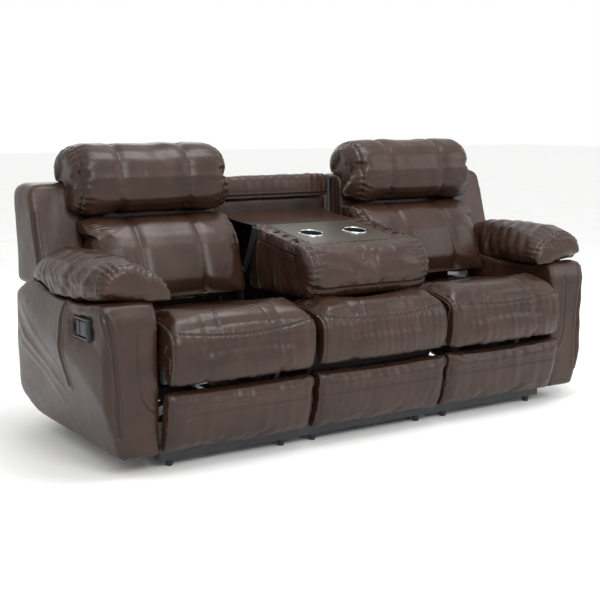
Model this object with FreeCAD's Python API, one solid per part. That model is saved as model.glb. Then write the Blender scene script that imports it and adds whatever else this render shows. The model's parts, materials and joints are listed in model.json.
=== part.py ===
import FreeCAD, Part
import math
import os

# Three-seat sofa with two reclining end seats and a fold-down console.
# Millimetres. X runs along the sofa, Y from the front to the back, Z up.
# The origin is on the floor, under the middle of the sofa.
# The left half of a pair is the one at negative X.

Vec = FreeCAD.Vector
LEFT = -1
RIGHT = 1
SIDES = {"left": LEFT, "right": RIGHT}

# Overall size
HALF_WIDTH = 1078.0
HALF_DEPTH = 478.4
HEIGHT = 1030.0

# Three seats between two arms
CENTRE_HALF = 287.0
ARM_INNER = 857.0
SEAT_CENTRE = (CENTRE_HALF + ARM_INNER) / 2
UNIT_HALF = (ARM_INNER - CENTRE_HALF) / 2
CUSHION_HALF = UNIT_HALF - 2.5
CENTRE_CUSHION_HALF = CENTRE_HALF - 5.0

# Steel base
GLIDE_HEIGHT = 25.0
GLIDE_RADIUS = 17.0
GLIDE_FOOT_RADIUS = 11.0
RAIL_SIZE = 40.0
RAIL_TOP = GLIDE_HEIGHT + RAIL_SIZE
FRONT_RAIL_Y = -334.0
REAR_RAIL_Y = 405.0
CHANNEL_OFFSET = 249.0
CHANNEL_WIDTH = 26.0
RAIL_END = 842.0
GLIDE_X = (234.0, 366.0, 797.0)
ARM_BRACKET_Y = (-230.0, 270.0)
ARM_BRACKET_HALF = 30.0
BOLT_HEAD = 7.0

# Flat sides on round bars, holes, cups and soft arcs, to keep the model light
PEG_SIDES = 8
TUBE_SIDES = 12
CUP_SIDES = 36
SOFT_CHORDS = 4

# Seat box and cushion
SEAT_BASE_Z = 337.0
SEAT_REAR_Y = 80.0
SEAT_FRONT_Y = -477.0
ROLL_FOOT_Z = 277.0
CROSS_RAIL_Z = 293.0
FRONT_CROSS_Y = (-412.0, -384.0)
REAR_CROSS_Y = (52.0, 80.0)
STRAP_WIDTH = 50.0
STRAP_THICK = 2.0
STRAP_PITCH = 84.0
CENTRE_CROWN_DROP = 0.955
SEAT_SEAMS = 140.0
LOWER_BACK_SEAMS = 120.0
HEADREST_SEAMS = 134.0

# Footrest linkage, as forward distance and height of each pivot, folded
PLATE_THICK = 4.0
LINK_GAP = 1.4
LINK_PITCH = PLATE_THICK + LINK_GAP
PLATE_OUTER = 242.0
LINK_HALF_WIDTH = 9.0
RIVET_RADIUS = 4.0
RIVET_HEAD_RADIUS = 7.0
RIVET_HEAD = 0.8
RIVET_PLAY = 0.3
LINK_END_SIDES = 4
RUNNING_GAP = 0.3
SLOT_GAP = 2.0
TUBE_RADIUS = 9.0
FOOTREST_FOOT_Y = -373.8
FOOTREST_LEAN = 0.206
DRIVE_PIVOT = (257.0, 288.0)
CRANK_PIVOT = (297.5, 291.5)
KNEE_PIVOT = (164.0, 114.5)
SLOT_PIVOT = (211.0, 110.5)
FOOT_PIVOT = (349.0, 179.0)
STAY_PIVOT = (202.5, 153.5)
BRACE_PIVOT = (
    FOOT_PIVOT[0] + STAY_PIVOT[0] - SLOT_PIVOT[0],
    FOOT_PIVOT[1] + STAY_PIVOT[1] - SLOT_PIVOT[1],
)

# Seat slide and back hinge
SLIDE_TRAVEL = 45.0
STUD_RADIUS = 6.0
STUD_Z = 290.0
STUD_Y = (-120.0, 126.0)
BACK_PIVOT = (218.0, 360.0)
HINGE_PIN_RADIUS = 6.0

# Reclining back
BACK_TOP = 897.0
SHELL_FOOT = 400.0
WING_OUTER = 1036.0
SHELL_OUTER = ARM_INNER - 3.0
WING_FOOT = 545.0
WING_CORNER = 45.0
WING_EDGE = 14.0
WING_FRONT = ((132.0, WING_FOOT), (238.0, 856.0))
POST_WIDTH = 34.0
POST_DEPTH = 36.0
BOARD_THICK = 16.0
FRAME_SETBACK = 36.0

# Arm
ARM_FOOT = 57.0
TROUGH_FLOOR = 440.0
WING_GAP = 5.0
TROUGH_FRONT = 118.0
TROUGH_OUTER = WING_OUTER + 4.0
ARM_REAR_RADIUS = 205.0
PAD_FOOT = 530.0
PAD_TIP_Z = 552.0

# Release handle in the outer side of each arm
BEZEL_Y = -253.0
BEZEL_Z = 472.0
BEZEL_LENGTH = 118.0
BEZEL_HEIGHT = 64.0
BEZEL_DEPTH = 26.0
BEZEL_WALL = 3.0
BEZEL_FACE_X = 1063.0
LEVER_PIN_RADIUS = 3.0

# Console, folded down
CONSOLE_TILT = 8.34
TRAY_CENTRE = (-112.5, 708.5)
TRAY_HALF_WIDTH = 191.0
TRAY_HALF_LENGTH = 155.0
TRAY_THICK = 4.0
CONSOLE_HALF = 262.0
CONSOLE_BOARD_HALF = 250.0
CONSOLE_BOARD_THICK = 18.0
CUP_SPACING = 98.0
CUP_Y = -8.0
CUP_RADIUS = 42.0
CUP_WALL = 1.5
CUP_DEPTH = 76.0
CUP_RING_RADIUS = 47.5
CUP_RING_HEIGHT = 2.5
CONSOLE_PIVOT = (100.0, 560.0)
CONSOLE_ARM_X = 251.0
CONSOLE_BRACKET_X = 266.0

# Fixed centre back
CENTRE_POST_X = 226.0
CENTRE_POST_WIDTH = 36.0
CENTRE_POST_Y = (332.0, 372.0)
RECESS_FRONT_Y = 314.0
TOP_RAIL_Z = 806.0
TOP_RAIL_HALF = 264.0
REAR_SKIN_Y = 388.0
SKIRT_Y = REAR_RAIL_Y + RAIL_SIZE / 2
SKIRT_TOP = 392.0


def box(x0, x1, y0, y1, z0, z1):
    """A block between two corners, given in any order along X."""
    low = min(x0, x1)
    return Part.makeBox(abs(x1 - x0), y1 - y0, z1 - z0, Vec(low, y0, z0))


def peg(start, end, radius, sides=PEG_SIDES):
    """A round bar along X or Z, drawn with flat sides, its corners at the radius."""
    run = Vec(*end) - Vec(*start)
    across = Vec(0, 1, 0)
    upright = run.cross(across)
    upright.normalize()
    corners = []
    for i in range(sides + 1):
        turn = 2 * math.pi * (i % sides + 0.5) / sides
        corners.append(Vec(*start) + across * (radius * math.cos(turn)) + upright * (radius * math.sin(turn)))
    return Part.Face(Part.makePolygon(corners)).extrude(run)


def pin(start, end, radius):
    """A round bar between two points."""
    run = Vec(*end) - Vec(*start)
    return Part.makeCylinder(radius, run.Length, Vec(*start), run)


def hole(start, end, radius, sides=PEG_SIDES):
    """The bar to cut for a hole whose flat sides all clear the radius."""
    return peg(start, end, radius / math.cos(math.pi / sides), sides)


def outline(spec, place):
    """A closed wire. Each entry is a corner, or an arc's middle point and end."""
    edges = []
    first = spec[0]
    here = first
    for entry in spec[1:] + [first]:
        if isinstance(entry[0], tuple):
            middle, end = entry
            edges.append(Part.Arc(place(here), place(middle), place(end)).toShape())
        else:
            end = entry
            if math.dist(here, end) > 1e-6:
                edges.append(Part.LineSegment(place(here), place(end)).toShape())
        here = end
    return Part.Wire(edges)


def arc_points(start, middle, end, count):
    """Points along the arc through three points, without its start."""
    ax, ay = middle[0] - start[0], middle[1] - start[1]
    bx, by = end[0] - start[0], end[1] - start[1]
    twice_area = 2 * (ax * by - ay * bx)
    cx = start[0] + (by * (ax * ax + ay * ay) - ay * (bx * bx + by * by)) / twice_area
    cy = start[1] + (ax * (bx * bx + by * by) - bx * (ax * ax + ay * ay)) / twice_area
    radius = math.dist((cx, cy), start)
    first = math.atan2(start[1] - cy, start[0] - cx)
    sweep = math.atan2(end[1] - cy, end[0] - cx) - first
    sweep = sweep % (2 * math.pi) if twice_area > 0 else -(-sweep % (2 * math.pi))
    turns = [first + sweep * (i + 1) / count for i in range(count)]
    return [(cx + radius * math.cos(turn), cy + radius * math.sin(turn)) for turn in turns]


def soft_outline(spec):
    """A padded form's outline, each arc drawn with a few flat sides to keep the model light."""
    points = [spec[0]]
    for entry in spec[1:]:
        if isinstance(entry[0], tuple):
            points += arc_points(points[-1], entry[0], entry[1], SOFT_CHORDS)
        else:
            points.append(entry)
    if math.dist(points[0], points[-1]) < 1e-6:
        points.pop()
    return points


def side_prism(spec, x0, x1):
    """A profile drawn in Y and Z, carried along X."""
    low = min(x0, x1)
    wire = outline(spec, lambda p: Vec(low, p[0], p[1]))
    return Part.Face(wire).extrude(Vec(abs(x1 - x0), 0, 0))


def front_prism(spec, y0, y1):
    """A profile drawn in X and Z, carried along Y."""
    wire = outline(spec, lambda p: Vec(p[0], y0, p[1]))
    return Part.Face(wire).extrude(Vec(0, y1 - y0, 0))


def plan_prism(spec, z0, z1):
    """A profile drawn in X and Y, carried along Z."""
    wire = outline(spec, lambda p: Vec(p[0], p[1], z0))
    return Part.Face(wire).extrude(Vec(0, 0, z1 - z0))


def flat_face(corners):
    return Part.Face(Part.makePolygon(corners + corners[:1]))


def soft_skin(rows):
    """A closed solid over rows of points, each patch between two rows split into flat triangles."""
    faces = [flat_face(rows[0]), flat_face(rows[-1])]
    for near, far in zip(rows, rows[1:]):
        for i in range(len(near)):
            faces.append(flat_face([near[i - 1], near[i], far[i]]))
            faces.append(flat_face([near[i - 1], far[i], far[i - 1]]))
    solid = Part.makeSolid(Part.makeShell(faces))
    if solid.Volume < 0:
        solid.reverse()
    return solid


def soft_loft(spec, stations, anchor):
    """A padded form. Each station is an X with its scale in Y and Z about the anchor."""
    points = soft_outline(spec)
    rows = []
    for x, scale_y, scale_z in stations:
        rows.append([Vec(x, anchor[0] + (y - anchor[0]) * scale_y, anchor[1] + (z - anchor[1]) * scale_z)
                     for y, z in points])
    return soft_skin(rows)


def padded_stations(centre, half, seams, ends, depth):
    """Stations across a cushion: drawn-in ends, sewn channels and a full middle.

    The ends are rows of a distance from the end, a scale in Y and a scale in Z.
    """
    groove = 10.0
    rows = [(-half + inset, scale_y, scale_z) for inset, scale_y, scale_z in ends]
    for seam in (-seams, seams):
        rows.append((seam - groove, 1.0, 1.0))
        rows.append((seam, 1 - depth, 1 - depth))
        rows.append((seam + groove, 1.0, 1.0))
    rows += [(half - inset, scale_y, scale_z) for inset, scale_y, scale_z in reversed(ends)]
    return [(centre + x, scale_y, scale_z) for x, scale_y, scale_z in rows]


def mirrored(shape, side):
    """The shape as drawn for the right half, or its mirror image for the left half."""
    if side == RIGHT:
        return shape
    return shape.mirror(Vec(0, 0, 0), Vec(1, 0, 0))


def both_sides(shape):
    """The shape and its mirror image."""
    return [shape, mirrored(shape, LEFT)]


def about_seat(shape):
    """A piece drawn for one side of a seat, with its twin on the seat's other side."""
    twin = shape.mirror(Vec(SEAT_CENTRE, 0, 0), Vec(1, 0, 0))
    return [shape, twin]


def union(shapes):
    """One solid from touching shapes."""
    result = shapes[0]
    for shape in shapes[1:]:
        result = result.fuse(shape)
    return result.removeSplitter()


def save(name, shapes):
    """Write one sub-part, as one solid or as a group of separate solids."""
    shape = shapes if not isinstance(shapes, list) else Part.makeCompound(shapes)
    shape.exportStep("parts/" + name + ".step")


# Steel base

def box_rail(x0, x1, y0, y1):
    """A closed steel tube of square section."""
    return box(x0, x1, y0, y1, GLIDE_HEIGHT, RAIL_TOP)


def rail_set(y):
    """A rail across the centre and one under each end seat, end to end."""
    span = (y - RAIL_SIZE / 2, y + RAIL_SIZE / 2)
    end = box_rail(CENTRE_HALF, RAIL_END, *span)
    return both_sides(end) + [box_rail(-CENTRE_HALF, CENTRE_HALF, *span)]


def side_channels():
    """Channels from the front rail to the rear rail, open downwards."""
    y0 = FRONT_RAIL_Y + RAIL_SIZE / 2
    y1 = REAR_RAIL_Y - RAIL_SIZE / 2
    half = CHANNEL_WIDTH / 2
    channels = []
    for centre in (-SEAT_CENTRE, 0, SEAT_CENTRE):
        for side in (LEFT, RIGHT):
            x = centre + side * CHANNEL_OFFSET
            outer = box(x - half, x + half, y0, y1, GLIDE_HEIGHT + 4, RAIL_TOP)
            inner = box(x - half + 3, x + half - 3, y0, y1, GLIDE_HEIGHT + 4, RAIL_TOP - 3)
            channels.append(outer.cut(inner))
    return channels


def arm_brackets():
    """Angle brackets that carry the arms beside the outer channels."""
    x0 = SEAT_CENTRE + CHANNEL_OFFSET + CHANNEL_WIDTH / 2
    brackets = []
    for y in ARM_BRACKET_Y:
        span = (y - ARM_BRACKET_HALF, y + ARM_BRACKET_HALF)
        shelf = box(x0, ARM_INNER, *span, RAIL_TOP - 8, RAIL_TOP)
        leaf = box(ARM_INNER - PLATE_THICK, ARM_INNER, *span, RAIL_TOP, RAIL_TOP + 70)
        brackets += both_sides(union([shelf, leaf]))
    return brackets


def seat_guide_brackets():
    """Upright brackets on the channels, with studs that carry the sliding seat."""
    brackets = []
    x0 = SEAT_CENTRE + PLATE_OUTER + 4
    for y in STUD_Y:
        web = side_prism([
            (y - 34, RAIL_TOP), (y + 34, RAIL_TOP), (y + 15, STUD_Z), (y + 8, STUD_Z + 15),
            (y - 8, STUD_Z + 15), (y - 15, STUD_Z),
        ], x0, x0 + PLATE_THICK)
        stud = peg((x0 - 9, y, STUD_Z), (x0, y, STUD_Z), STUD_RADIUS)
        foot = box(x0, x0 + 14, y - 34, y + 34, RAIL_TOP, RAIL_TOP + 4)
        for bracket in about_seat(union([web, foot, stud])):
            brackets += both_sides(bracket)
    return brackets


def base_chassis():
    """The rear rails, the channels between the rails and the brackets that stand on them."""
    return rail_set(REAR_RAIL_Y) + side_channels() + arm_brackets() + seat_guide_brackets()


def floor_glides():
    """Tapered plastic feet under the rails."""
    feet = []
    for x in GLIDE_X:
        for y in (FRONT_RAIL_Y, REAR_RAIL_Y):
            ends = []
            for z, radius in ((0, GLIDE_FOOT_RADIUS), (GLIDE_HEIGHT, GLIDE_RADIUS)):
                turns = [2 * math.pi * i / PEG_SIDES for i in range(PEG_SIDES)]
                corners = [Vec(x + radius * math.cos(t), y + radius * math.sin(t), z) for t in turns]
                ends.append(Part.makePolygon(corners + corners[:1]))
            feet += both_sides(Part.makeLoft(ends, True, True))
    return feet


def frame_bolts():
    """Hexagon heads of the bolts that hold the arms to their brackets."""
    bolts = []
    x = ARM_INNER - PLATE_THICK
    for y in ARM_BRACKET_Y:
        for offset in (-15, 15):
            bolts += both_sides(peg((x - 4, y + offset, 110), (x, y + offset, 110), BOLT_HEAD, 6))
    return bolts


# Arms

def arm_side_outline():
    """The arm seen from the side: upright front, dipped top, rear hump and round rear foot."""
    low = ARM_REAR_RADIUS
    bend = low * (1 - math.sqrt(0.5))
    return [
        (-399, ARM_FOOT), (-399, 450), ((-394, 508), (-376, 545)), ((-362, 556), (-335, 554)),
        ((-140, 540), (60, 556)), ((110, 572), (165, 580)), ((225, 574), (275, 550)),
        ((330, 524), (400, 519)), ((458, 508), (HALF_DEPTH, 465)),
        (HALF_DEPTH, ARM_FOOT + low),
        ((HALF_DEPTH - bend, ARM_FOOT + bend), (HALF_DEPTH - low, ARM_FOOT)),
    ]


def arm_front_outline():
    """The arm seen from the front: flat inner side, bulging outer side that tapers down."""
    return [
        (ARM_INNER, ARM_FOOT), (982, ARM_FOOT), ((993, 62), (998, 74)),
        ((1040, 225), (1074, 390)), ((1078, 455), (1064, 520)), (1046, 600), (ARM_INNER, 600),
    ]


def arm_plan_outline():
    """The arm seen from above: the outer side swells in the middle."""
    return [
        (ARM_INNER, -420), (1012, -420), (1018, -399), ((1034, -392), (1042, -372)),
        ((1070, -190), (HALF_WIDTH, 0)), ((1075, 150), (1062, 280)), ((1052, 342), (1030, 395)),
        ((1006, 440), (970, HALF_DEPTH)), (950, 500), (ARM_INNER, 500),
    ]


def arm_shape():
    """The upholstered arm without its handle pocket."""
    sides = side_prism(arm_side_outline(), ARM_INNER, HALF_WIDTH + 10)
    front = front_prism(arm_front_outline(), -420, 500)
    plan = plan_prism(arm_plan_outline(), 0, 620)
    trough = box(ARM_INNER - 1, TROUGH_OUTER, TROUGH_FRONT, HALF_DEPTH + 1, TROUGH_FLOOR, 620)
    return sides.common(front).common(plan).cut(trough)


def bezel_pocket(margin=0.0):
    """The block of space that the handle's housing fills."""
    y = BEZEL_LENGTH / 2 + margin
    z = BEZEL_HEIGHT / 2 + margin
    x0 = BEZEL_FACE_X - BEZEL_DEPTH - margin
    return box(x0, HALF_WIDTH + 30, BEZEL_Y - y, BEZEL_Y + y, BEZEL_Z - z, BEZEL_Z + z)


def arm_body():
    return arm_shape().cut(bezel_pocket())


def pad_section(tip, outer, ridge, top, hem):
    """The pillow's section: inner tip, inner slope, crown and outer side down to its hem."""
    rise = top - PAD_TIP_Z
    slope = tip + 0.45 * (ridge - tip)
    return [
        (tip + 5, PAD_FOOT), (tip, PAD_TIP_Z),
        ((tip + 0.12 * (ridge - tip), PAD_TIP_Z + 0.5 * rise), (slope, PAD_TIP_Z + 0.86 * rise)),
        ((ridge + 0.2 * (outer - ridge), top), (outer, PAD_TIP_Z + 0.42 * rise)),
        (outer - 5, hem),
    ]


def arm_pad():
    """A pillow over the arm, drawn in at both ends, with a sewn channel near its rear."""
    rows = [
        (-377, 799, 1034, 985, 634, 584), (-362, 795, 1048, 980, 656, 576),
        (-300, 808, 1060, 965, 678, 562), (-150, 840, 1068, 950, 690, 545),
        (-10, 863, 1069, 948, 690, 540), (94, 864, 1064, 948, 682, 540), (108, 866, 1060, 948, 672, 540),
        (122, 864, 1062, 948, 678, 540), (184, 868, 1054, 948, 660, 560), (212, 882, 1038, 948, 634, 580),
    ]
    sections = []
    for y, tip, outer, ridge, top, hem in rows:
        sections.append([Vec(x, y, z) for x, z in soft_outline(pad_section(tip, outer, ridge, top, hem))])
    pad = soft_skin(sections)
    pad = pad.cut(side_prism(wing_space(), ARM_INNER - 10, TROUGH_OUTER))
    return pad.cut(side_prism(arm_side_outline(), ARM_INNER - 100, HALF_WIDTH + 10))


def lever_bezel():
    """A recessed housing in the arm's side, with two pins that the handle turns on."""
    y0 = BEZEL_Y - BEZEL_LENGTH / 2
    y1 = BEZEL_Y + BEZEL_LENGTH / 2
    z0 = BEZEL_Z - BEZEL_HEIGHT / 2
    z1 = BEZEL_Z + BEZEL_HEIGHT / 2
    x0 = BEZEL_FACE_X - BEZEL_DEPTH
    wall = BEZEL_WALL
    outer = box(x0, BEZEL_FACE_X, y0, y1, z0, z1)
    hollow = box(x0 + wall, BEZEL_FACE_X + 1, y0 + wall, y1 - wall, z0 + wall, z1 - wall)
    body = outer.cut(hollow)
    pin_x, pin_y = lever_axis()
    pins = [
        pin((pin_x, pin_y, z0 + wall), (pin_x, pin_y, z0 + wall + 5), LEVER_PIN_RADIUS),
        pin((pin_x, pin_y, z1 - wall - 5), (pin_x, pin_y, z1 - wall), LEVER_PIN_RADIUS),
    ]
    return union([body] + pins)


def lever_bezels():
    return both_sides(lever_bezel())


def lever_axis():
    """Where the handle's upright pin stands, in X and Y, at the housing's front end."""
    return (BEZEL_FACE_X - 9, BEZEL_Y - BEZEL_LENGTH / 2 + 14)


def release_lever():
    """A paddle on an upright pin, with a finger lip at its rear edge."""
    pin_x, pin_y = lever_axis()
    rear = BEZEL_Y + BEZEL_LENGTH / 2 - 36
    half = BEZEL_HEIGHT / 2 - BEZEL_WALL - 1.5
    paddle = plan_prism([
        (pin_x - 5, pin_y - 6), (pin_x + 4, pin_y - 7), ((pin_x + 8, pin_y + 20), (pin_x + 7, rear - 6)),
        ((pin_x + 6, rear), (pin_x + 2, rear)), (pin_x - 1, rear - 8), (pin_x - 2, pin_y + 10),
    ], BEZEL_Z - half, BEZEL_Z + half)
    reach = LEVER_PIN_RADIUS + RUNNING_GAP
    lower = hole((pin_x, pin_y, BEZEL_Z - half - 1), (pin_x, pin_y, BEZEL_Z - half + 6), reach)
    upper = hole((pin_x, pin_y, BEZEL_Z + half - 6), (pin_x, pin_y, BEZEL_Z + half + 1), reach)
    return paddle.cut(lower).cut(upper)


# Seats

def seat_outline():
    """A seat seen from the side: front roll over the cross rail, crown, fall to the back."""
    return [
        (-449, ROLL_FOOT_Z), ((-472, 328), (SEAT_FRONT_Y, 398)), ((-469, 450), (-432, 483)),
        ((-330, 504), (-200, 491)), (SEAT_REAR_Y, 452), (SEAT_REAR_Y, SEAT_BASE_Z),
        (FRONT_CROSS_Y[0], SEAT_BASE_Z), (FRONT_CROSS_Y[0], CROSS_RAIL_Z - 3),
    ]


def seat_cushion(centre, half, crown):
    anchor = (SEAT_REAR_Y, SEAT_BASE_Z)
    ends = [(0, 0.978, 0.90), (10, 0.994, 0.965), (34, 1.0, 1.0)]
    rows = padded_stations(centre, half, SEAT_SEAMS, ends, 0.012)
    rows = [(x, sy, sz * crown) for x, sy, sz in rows]
    under = box(centre - half, centre + half, FRONT_CROSS_Y[0], SEAT_REAR_Y + 1, CROSS_RAIL_Z - 4, SEAT_BASE_Z)
    return soft_loft(seat_outline(), rows, anchor).cut(under)


def seat_cross_rails():
    half = UNIT_HALF - 7
    inner = PLATE_OUTER - PLATE_THICK
    low = CROSS_RAIL_Z
    front = box(SEAT_CENTRE - half, SEAT_CENTRE + half, *FRONT_CROSS_Y, low, SEAT_BASE_Z)
    rear = box(SEAT_CENTRE - inner, SEAT_CENTRE + inner, *REAR_CROSS_Y, low, SEAT_BASE_Z)
    return [front, rear]


def seat_webbing():
    """Elastic straps from the front cross rail to the rear one."""
    straps = []
    for i in range(-2, 3):
        x = SEAT_CENTRE + i * STRAP_PITCH
        straps.append(box(x - STRAP_WIDTH / 2, x + STRAP_WIDTH / 2, FRONT_CROSS_Y[1], REAR_CROSS_Y[0],
                          SEAT_BASE_Z - STRAP_THICK, SEAT_BASE_Z))
    return straps


def mechanism_plates():
    """Steel side plates: slots for the slide studs, link pivots, and the back hinge."""
    inner = SEAT_CENTRE + PLATE_OUTER - PLATE_THICK
    outer = SEAT_CENTRE + PLATE_OUTER
    y, z = BACK_PIVOT
    under = SEAT_BASE_Z - 7
    web = side_prism([
        (FRONT_CROSS_Y[1], 296), (-340, 272), (60, 268), (190, 268), (y + 16, 330), (y + 17, z),
        (y + 10, z + 15), (y - 10, z + 15), (y - 17, z), (y - 24, 336), (y - 50, under),
        (FRONT_CROSS_Y[1], under),
    ], inner, outer)
    flange = box(inner, outer + 26, FRONT_CROSS_Y[1], REAR_CROSS_Y[1], under, SEAT_BASE_Z)
    web = web.cut(hole((inner - 1, y, z), (outer + 1, y, z), HINGE_PIN_RADIUS + RUNNING_GAP))
    gap = STUD_RADIUS + RUNNING_GAP
    for stud_y in STUD_Y:
        rear = stud_y + SLIDE_TRAVEL
        slot = side_prism([
            (stud_y - 3, STUD_Z - gap), (rear + 3, STUD_Z - gap), (rear + gap, STUD_Z - 3),
            (rear + gap, STUD_Z + 3), (rear + 3, STUD_Z + gap), (stud_y - 3, STUD_Z + gap),
            (stud_y - gap, STUD_Z + 3), (stud_y - gap, STUD_Z - 3),
        ], inner - 1, outer + 1)
        web = web.cut(slot)
    web = web.cut(pivot_hole(DRIVE_PIVOT, inner - 1, outer + 1, TUBE_RADIUS, TUBE_SIDES))
    plate = riveted(union([web, flange]), CRANK_PIVOT, 0, 1)
    return about_seat(plate)


# Footrest linkage

def pivot_ends(pivot, x0, x1):
    """Two points along X through a pivot that is given as forward distance and height."""
    return (min(x0, x1), -pivot[0], pivot[1]), (max(x0, x1), -pivot[0], pivot[1])


def pivot_rod(pivot, x0, x1, radius):
    """A round bar along X at a pivot."""
    return pin(*pivot_ends(pivot, x0, x1), radius)


def pivot_hole(pivot, x0, x1, radius, sides=PEG_SIDES):
    """The bar to cut for a hole that a bar of the given radius turns in."""
    return hole(*pivot_ends(pivot, x0, x1), radius + RUNNING_GAP, sides)


def lane(number):
    """The inner and outer X of a link lane. Lane 0 lies in the side plate's plane."""
    outer = SEAT_CENTRE + PLATE_OUTER - number * LINK_PITCH
    return outer - PLATE_THICK, outer


def bar(a, b, number, half=LINK_HALF_WIDTH):
    """A flat link with round ends between two pivots."""
    x0, x1 = lane(number)
    heading = math.atan2(b[1] - a[1], a[0] - b[0])
    corners = []
    for end, start in ((b, heading - math.pi / 2), (a, heading + math.pi / 2)):
        for i in range(LINK_END_SIDES + 1):
            turn = start + math.pi * i / LINK_END_SIDES
            corners.append(Vec(x0, half * math.cos(turn) - end[0], half * math.sin(turn) + end[1]))
    return Part.Face(Part.makePolygon(corners + corners[:1])).extrude(Vec(x1 - x0, 0, 0))


def drilled(link, number, pivots, play=0.0):
    """A link with a hole at each pivot for a neighbour's rivet."""
    x0, x1 = lane(number)
    for pivot in pivots:
        link = link.cut(pivot_hole(pivot, x0 - 1, x1 + 1, RIVET_RADIUS + play))
    return link


def riveted(link, pivot, own, other):
    """A link with its rivet through the neighbouring lane, closed by a head."""
    near = lane(own)[0] if other > own else lane(own)[1]
    far = lane(other)[0] - RIVET_PLAY if other > own else lane(other)[1] + RIVET_PLAY
    end = far - RIVET_HEAD if other > own else far + RIVET_HEAD
    shank = peg(*pivot_ends(pivot, near, far), RIVET_RADIUS)
    head = peg(*pivot_ends(pivot, far, end), RIVET_HEAD_RADIUS)
    return union([link, shank, head])


def drive_links():
    """The rear arms of the linkage, welded to the cross tube that the handle turns."""
    link = drilled(bar(DRIVE_PIVOT, KNEE_PIVOT, 3, 11), 3, [KNEE_PIVOT])
    inner, outer = lane(3)
    boss = pivot_rod(DRIVE_PIVOT, outer, SEAT_CENTRE + PLATE_OUTER + 2, TUBE_RADIUS)
    tube = pivot_rod(DRIVE_PIVOT, 2 * SEAT_CENTRE - inner, inner, TUBE_RADIUS)
    return about_seat(union([link, boss])) + [tube]


def crank_links():
    """The front arms, bent at the slotted pivot, that turn the footrest level."""
    x0, x1 = lane(1)
    elbow = peg(*pivot_ends(SLOT_PIVOT, x0, x1), RIVET_RADIUS + SLOT_GAP + 5, TUBE_SIDES)
    link = union([bar(CRANK_PIVOT, SLOT_PIVOT, 1), bar(SLOT_PIVOT, STAY_PIVOT, 1), elbow])
    link = drilled(link, 1, [CRANK_PIVOT])
    link = drilled(link, 1, [SLOT_PIVOT], SLOT_GAP - RUNNING_GAP)
    return about_seat(riveted(link, STAY_PIVOT, 1, 0))


def reach_links():
    """The long links that carry the footrest away from the seat."""
    link = union([bar(KNEE_PIVOT, SLOT_PIVOT, 2), bar(SLOT_PIVOT, FOOT_PIVOT, 2)])
    link = riveted(link, KNEE_PIVOT, 2, 3)
    link = riveted(link, SLOT_PIVOT, 2, 1)
    return about_seat(riveted(link, FOOT_PIVOT, 2, 1))


def stay_links():
    """The upper links that hold the footrest's bracket at its angle."""
    link = drilled(bar(STAY_PIVOT, BRACE_PIVOT, 0), 0, [STAY_PIVOT])
    return about_seat(drilled(link, 0, [BRACE_PIVOT], SLOT_GAP - RUNNING_GAP))


def board_front(z):
    """Where the footrest board's leaning front face stands at a height."""
    return FOOTREST_FOOT_Y - (z - RAIL_TOP) * FOOTREST_LEAN


def footrest_outline():
    """The pad's front face with its bulge, and the board's plane behind it."""
    return [
        (-449, 265), ((-455, 240), (-448, 212)), ((-437, 135), (-402, 60)),
        ((-390, 57), (board_front(62), 62)), (board_front(263), 263), ((-430, 271), (-449, 265)),
    ]


def footrest_pad(centre=SEAT_CENTRE, half=CUSHION_HALF):
    rows = [
        (-half, 0.965), (-half + 8, 0.985), (-half + 30, 1.0), (0, 1.004),
        (half - 30, 1.0), (half - 8, 0.985), (half, 0.965),
    ]
    rows = [(centre + x, scale, scale) for x, scale in rows]
    return soft_loft(footrest_outline(), rows, (board_front(162), 162))


def footrest_board(centre=SEAT_CENTRE, half=CUSHION_HALF - 20):
    low = (board_front(66), 66)
    high = (board_front(260), 260)
    thick = BOARD_THICK
    return side_prism([high, low, (low[0] + thick, 66), (high[0] + thick, 260)], centre - half, centre + half)


def footrest_brackets():
    """Steel brackets on the back of the board, between the reach links and the stays."""
    x0, x1 = lane(1)
    foot = (-FOOT_PIVOT[0], FOOT_PIVOT[1])
    brace = (-BRACE_PIVOT[0], BRACE_PIVOT[1])
    web = side_prism([
        (foot[0] + 11, foot[1] - 6), (brace[0] + 10, brace[1] + 4), (brace[0] + 2, brace[1] + 12),
        (brace[0] - 12, brace[1] + 12), (-404, 238), (-383, 130), (-371, 130),
        (foot[0] - 2, foot[1] - 13), (foot[0] + 7, foot[1] - 11),
    ], x0, x1)
    web = web.cut(footrest_board())
    return about_seat(riveted(drilled(web, 1, [FOOT_PIVOT]), BRACE_PIVOT, 1, 0))


# Reclining back

def shell_outline():
    """The padded box behind the cushions, seen from the side."""
    return [
        (212, SHELL_FOOT), (252, 872), (278, BACK_TOP), (362, BACK_TOP), ((385, 890), (392, 868)),
        (388, SHELL_FOOT),
    ]


def back_frame():
    """Two posts and three rails of wood inside the shell, the posts reaching down to the hinge."""
    y0 = BACK_PIVOT[0] + FRAME_SETBACK
    y1 = y0 + POST_DEPTH
    outer = SEAT_CENTRE + PLATE_OUTER - 13
    post = box(outer - POST_WIDTH, outer, y0, y1, 343, 850)
    rails = []
    half = outer - POST_WIDTH - SEAT_CENTRE
    for z in (440, 640, 816):
        rails.append(box(SEAT_CENTRE - half, SEAT_CENTRE + half, y0, y1, z, z + POST_WIDTH))
    return about_seat(post) + rails


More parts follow.
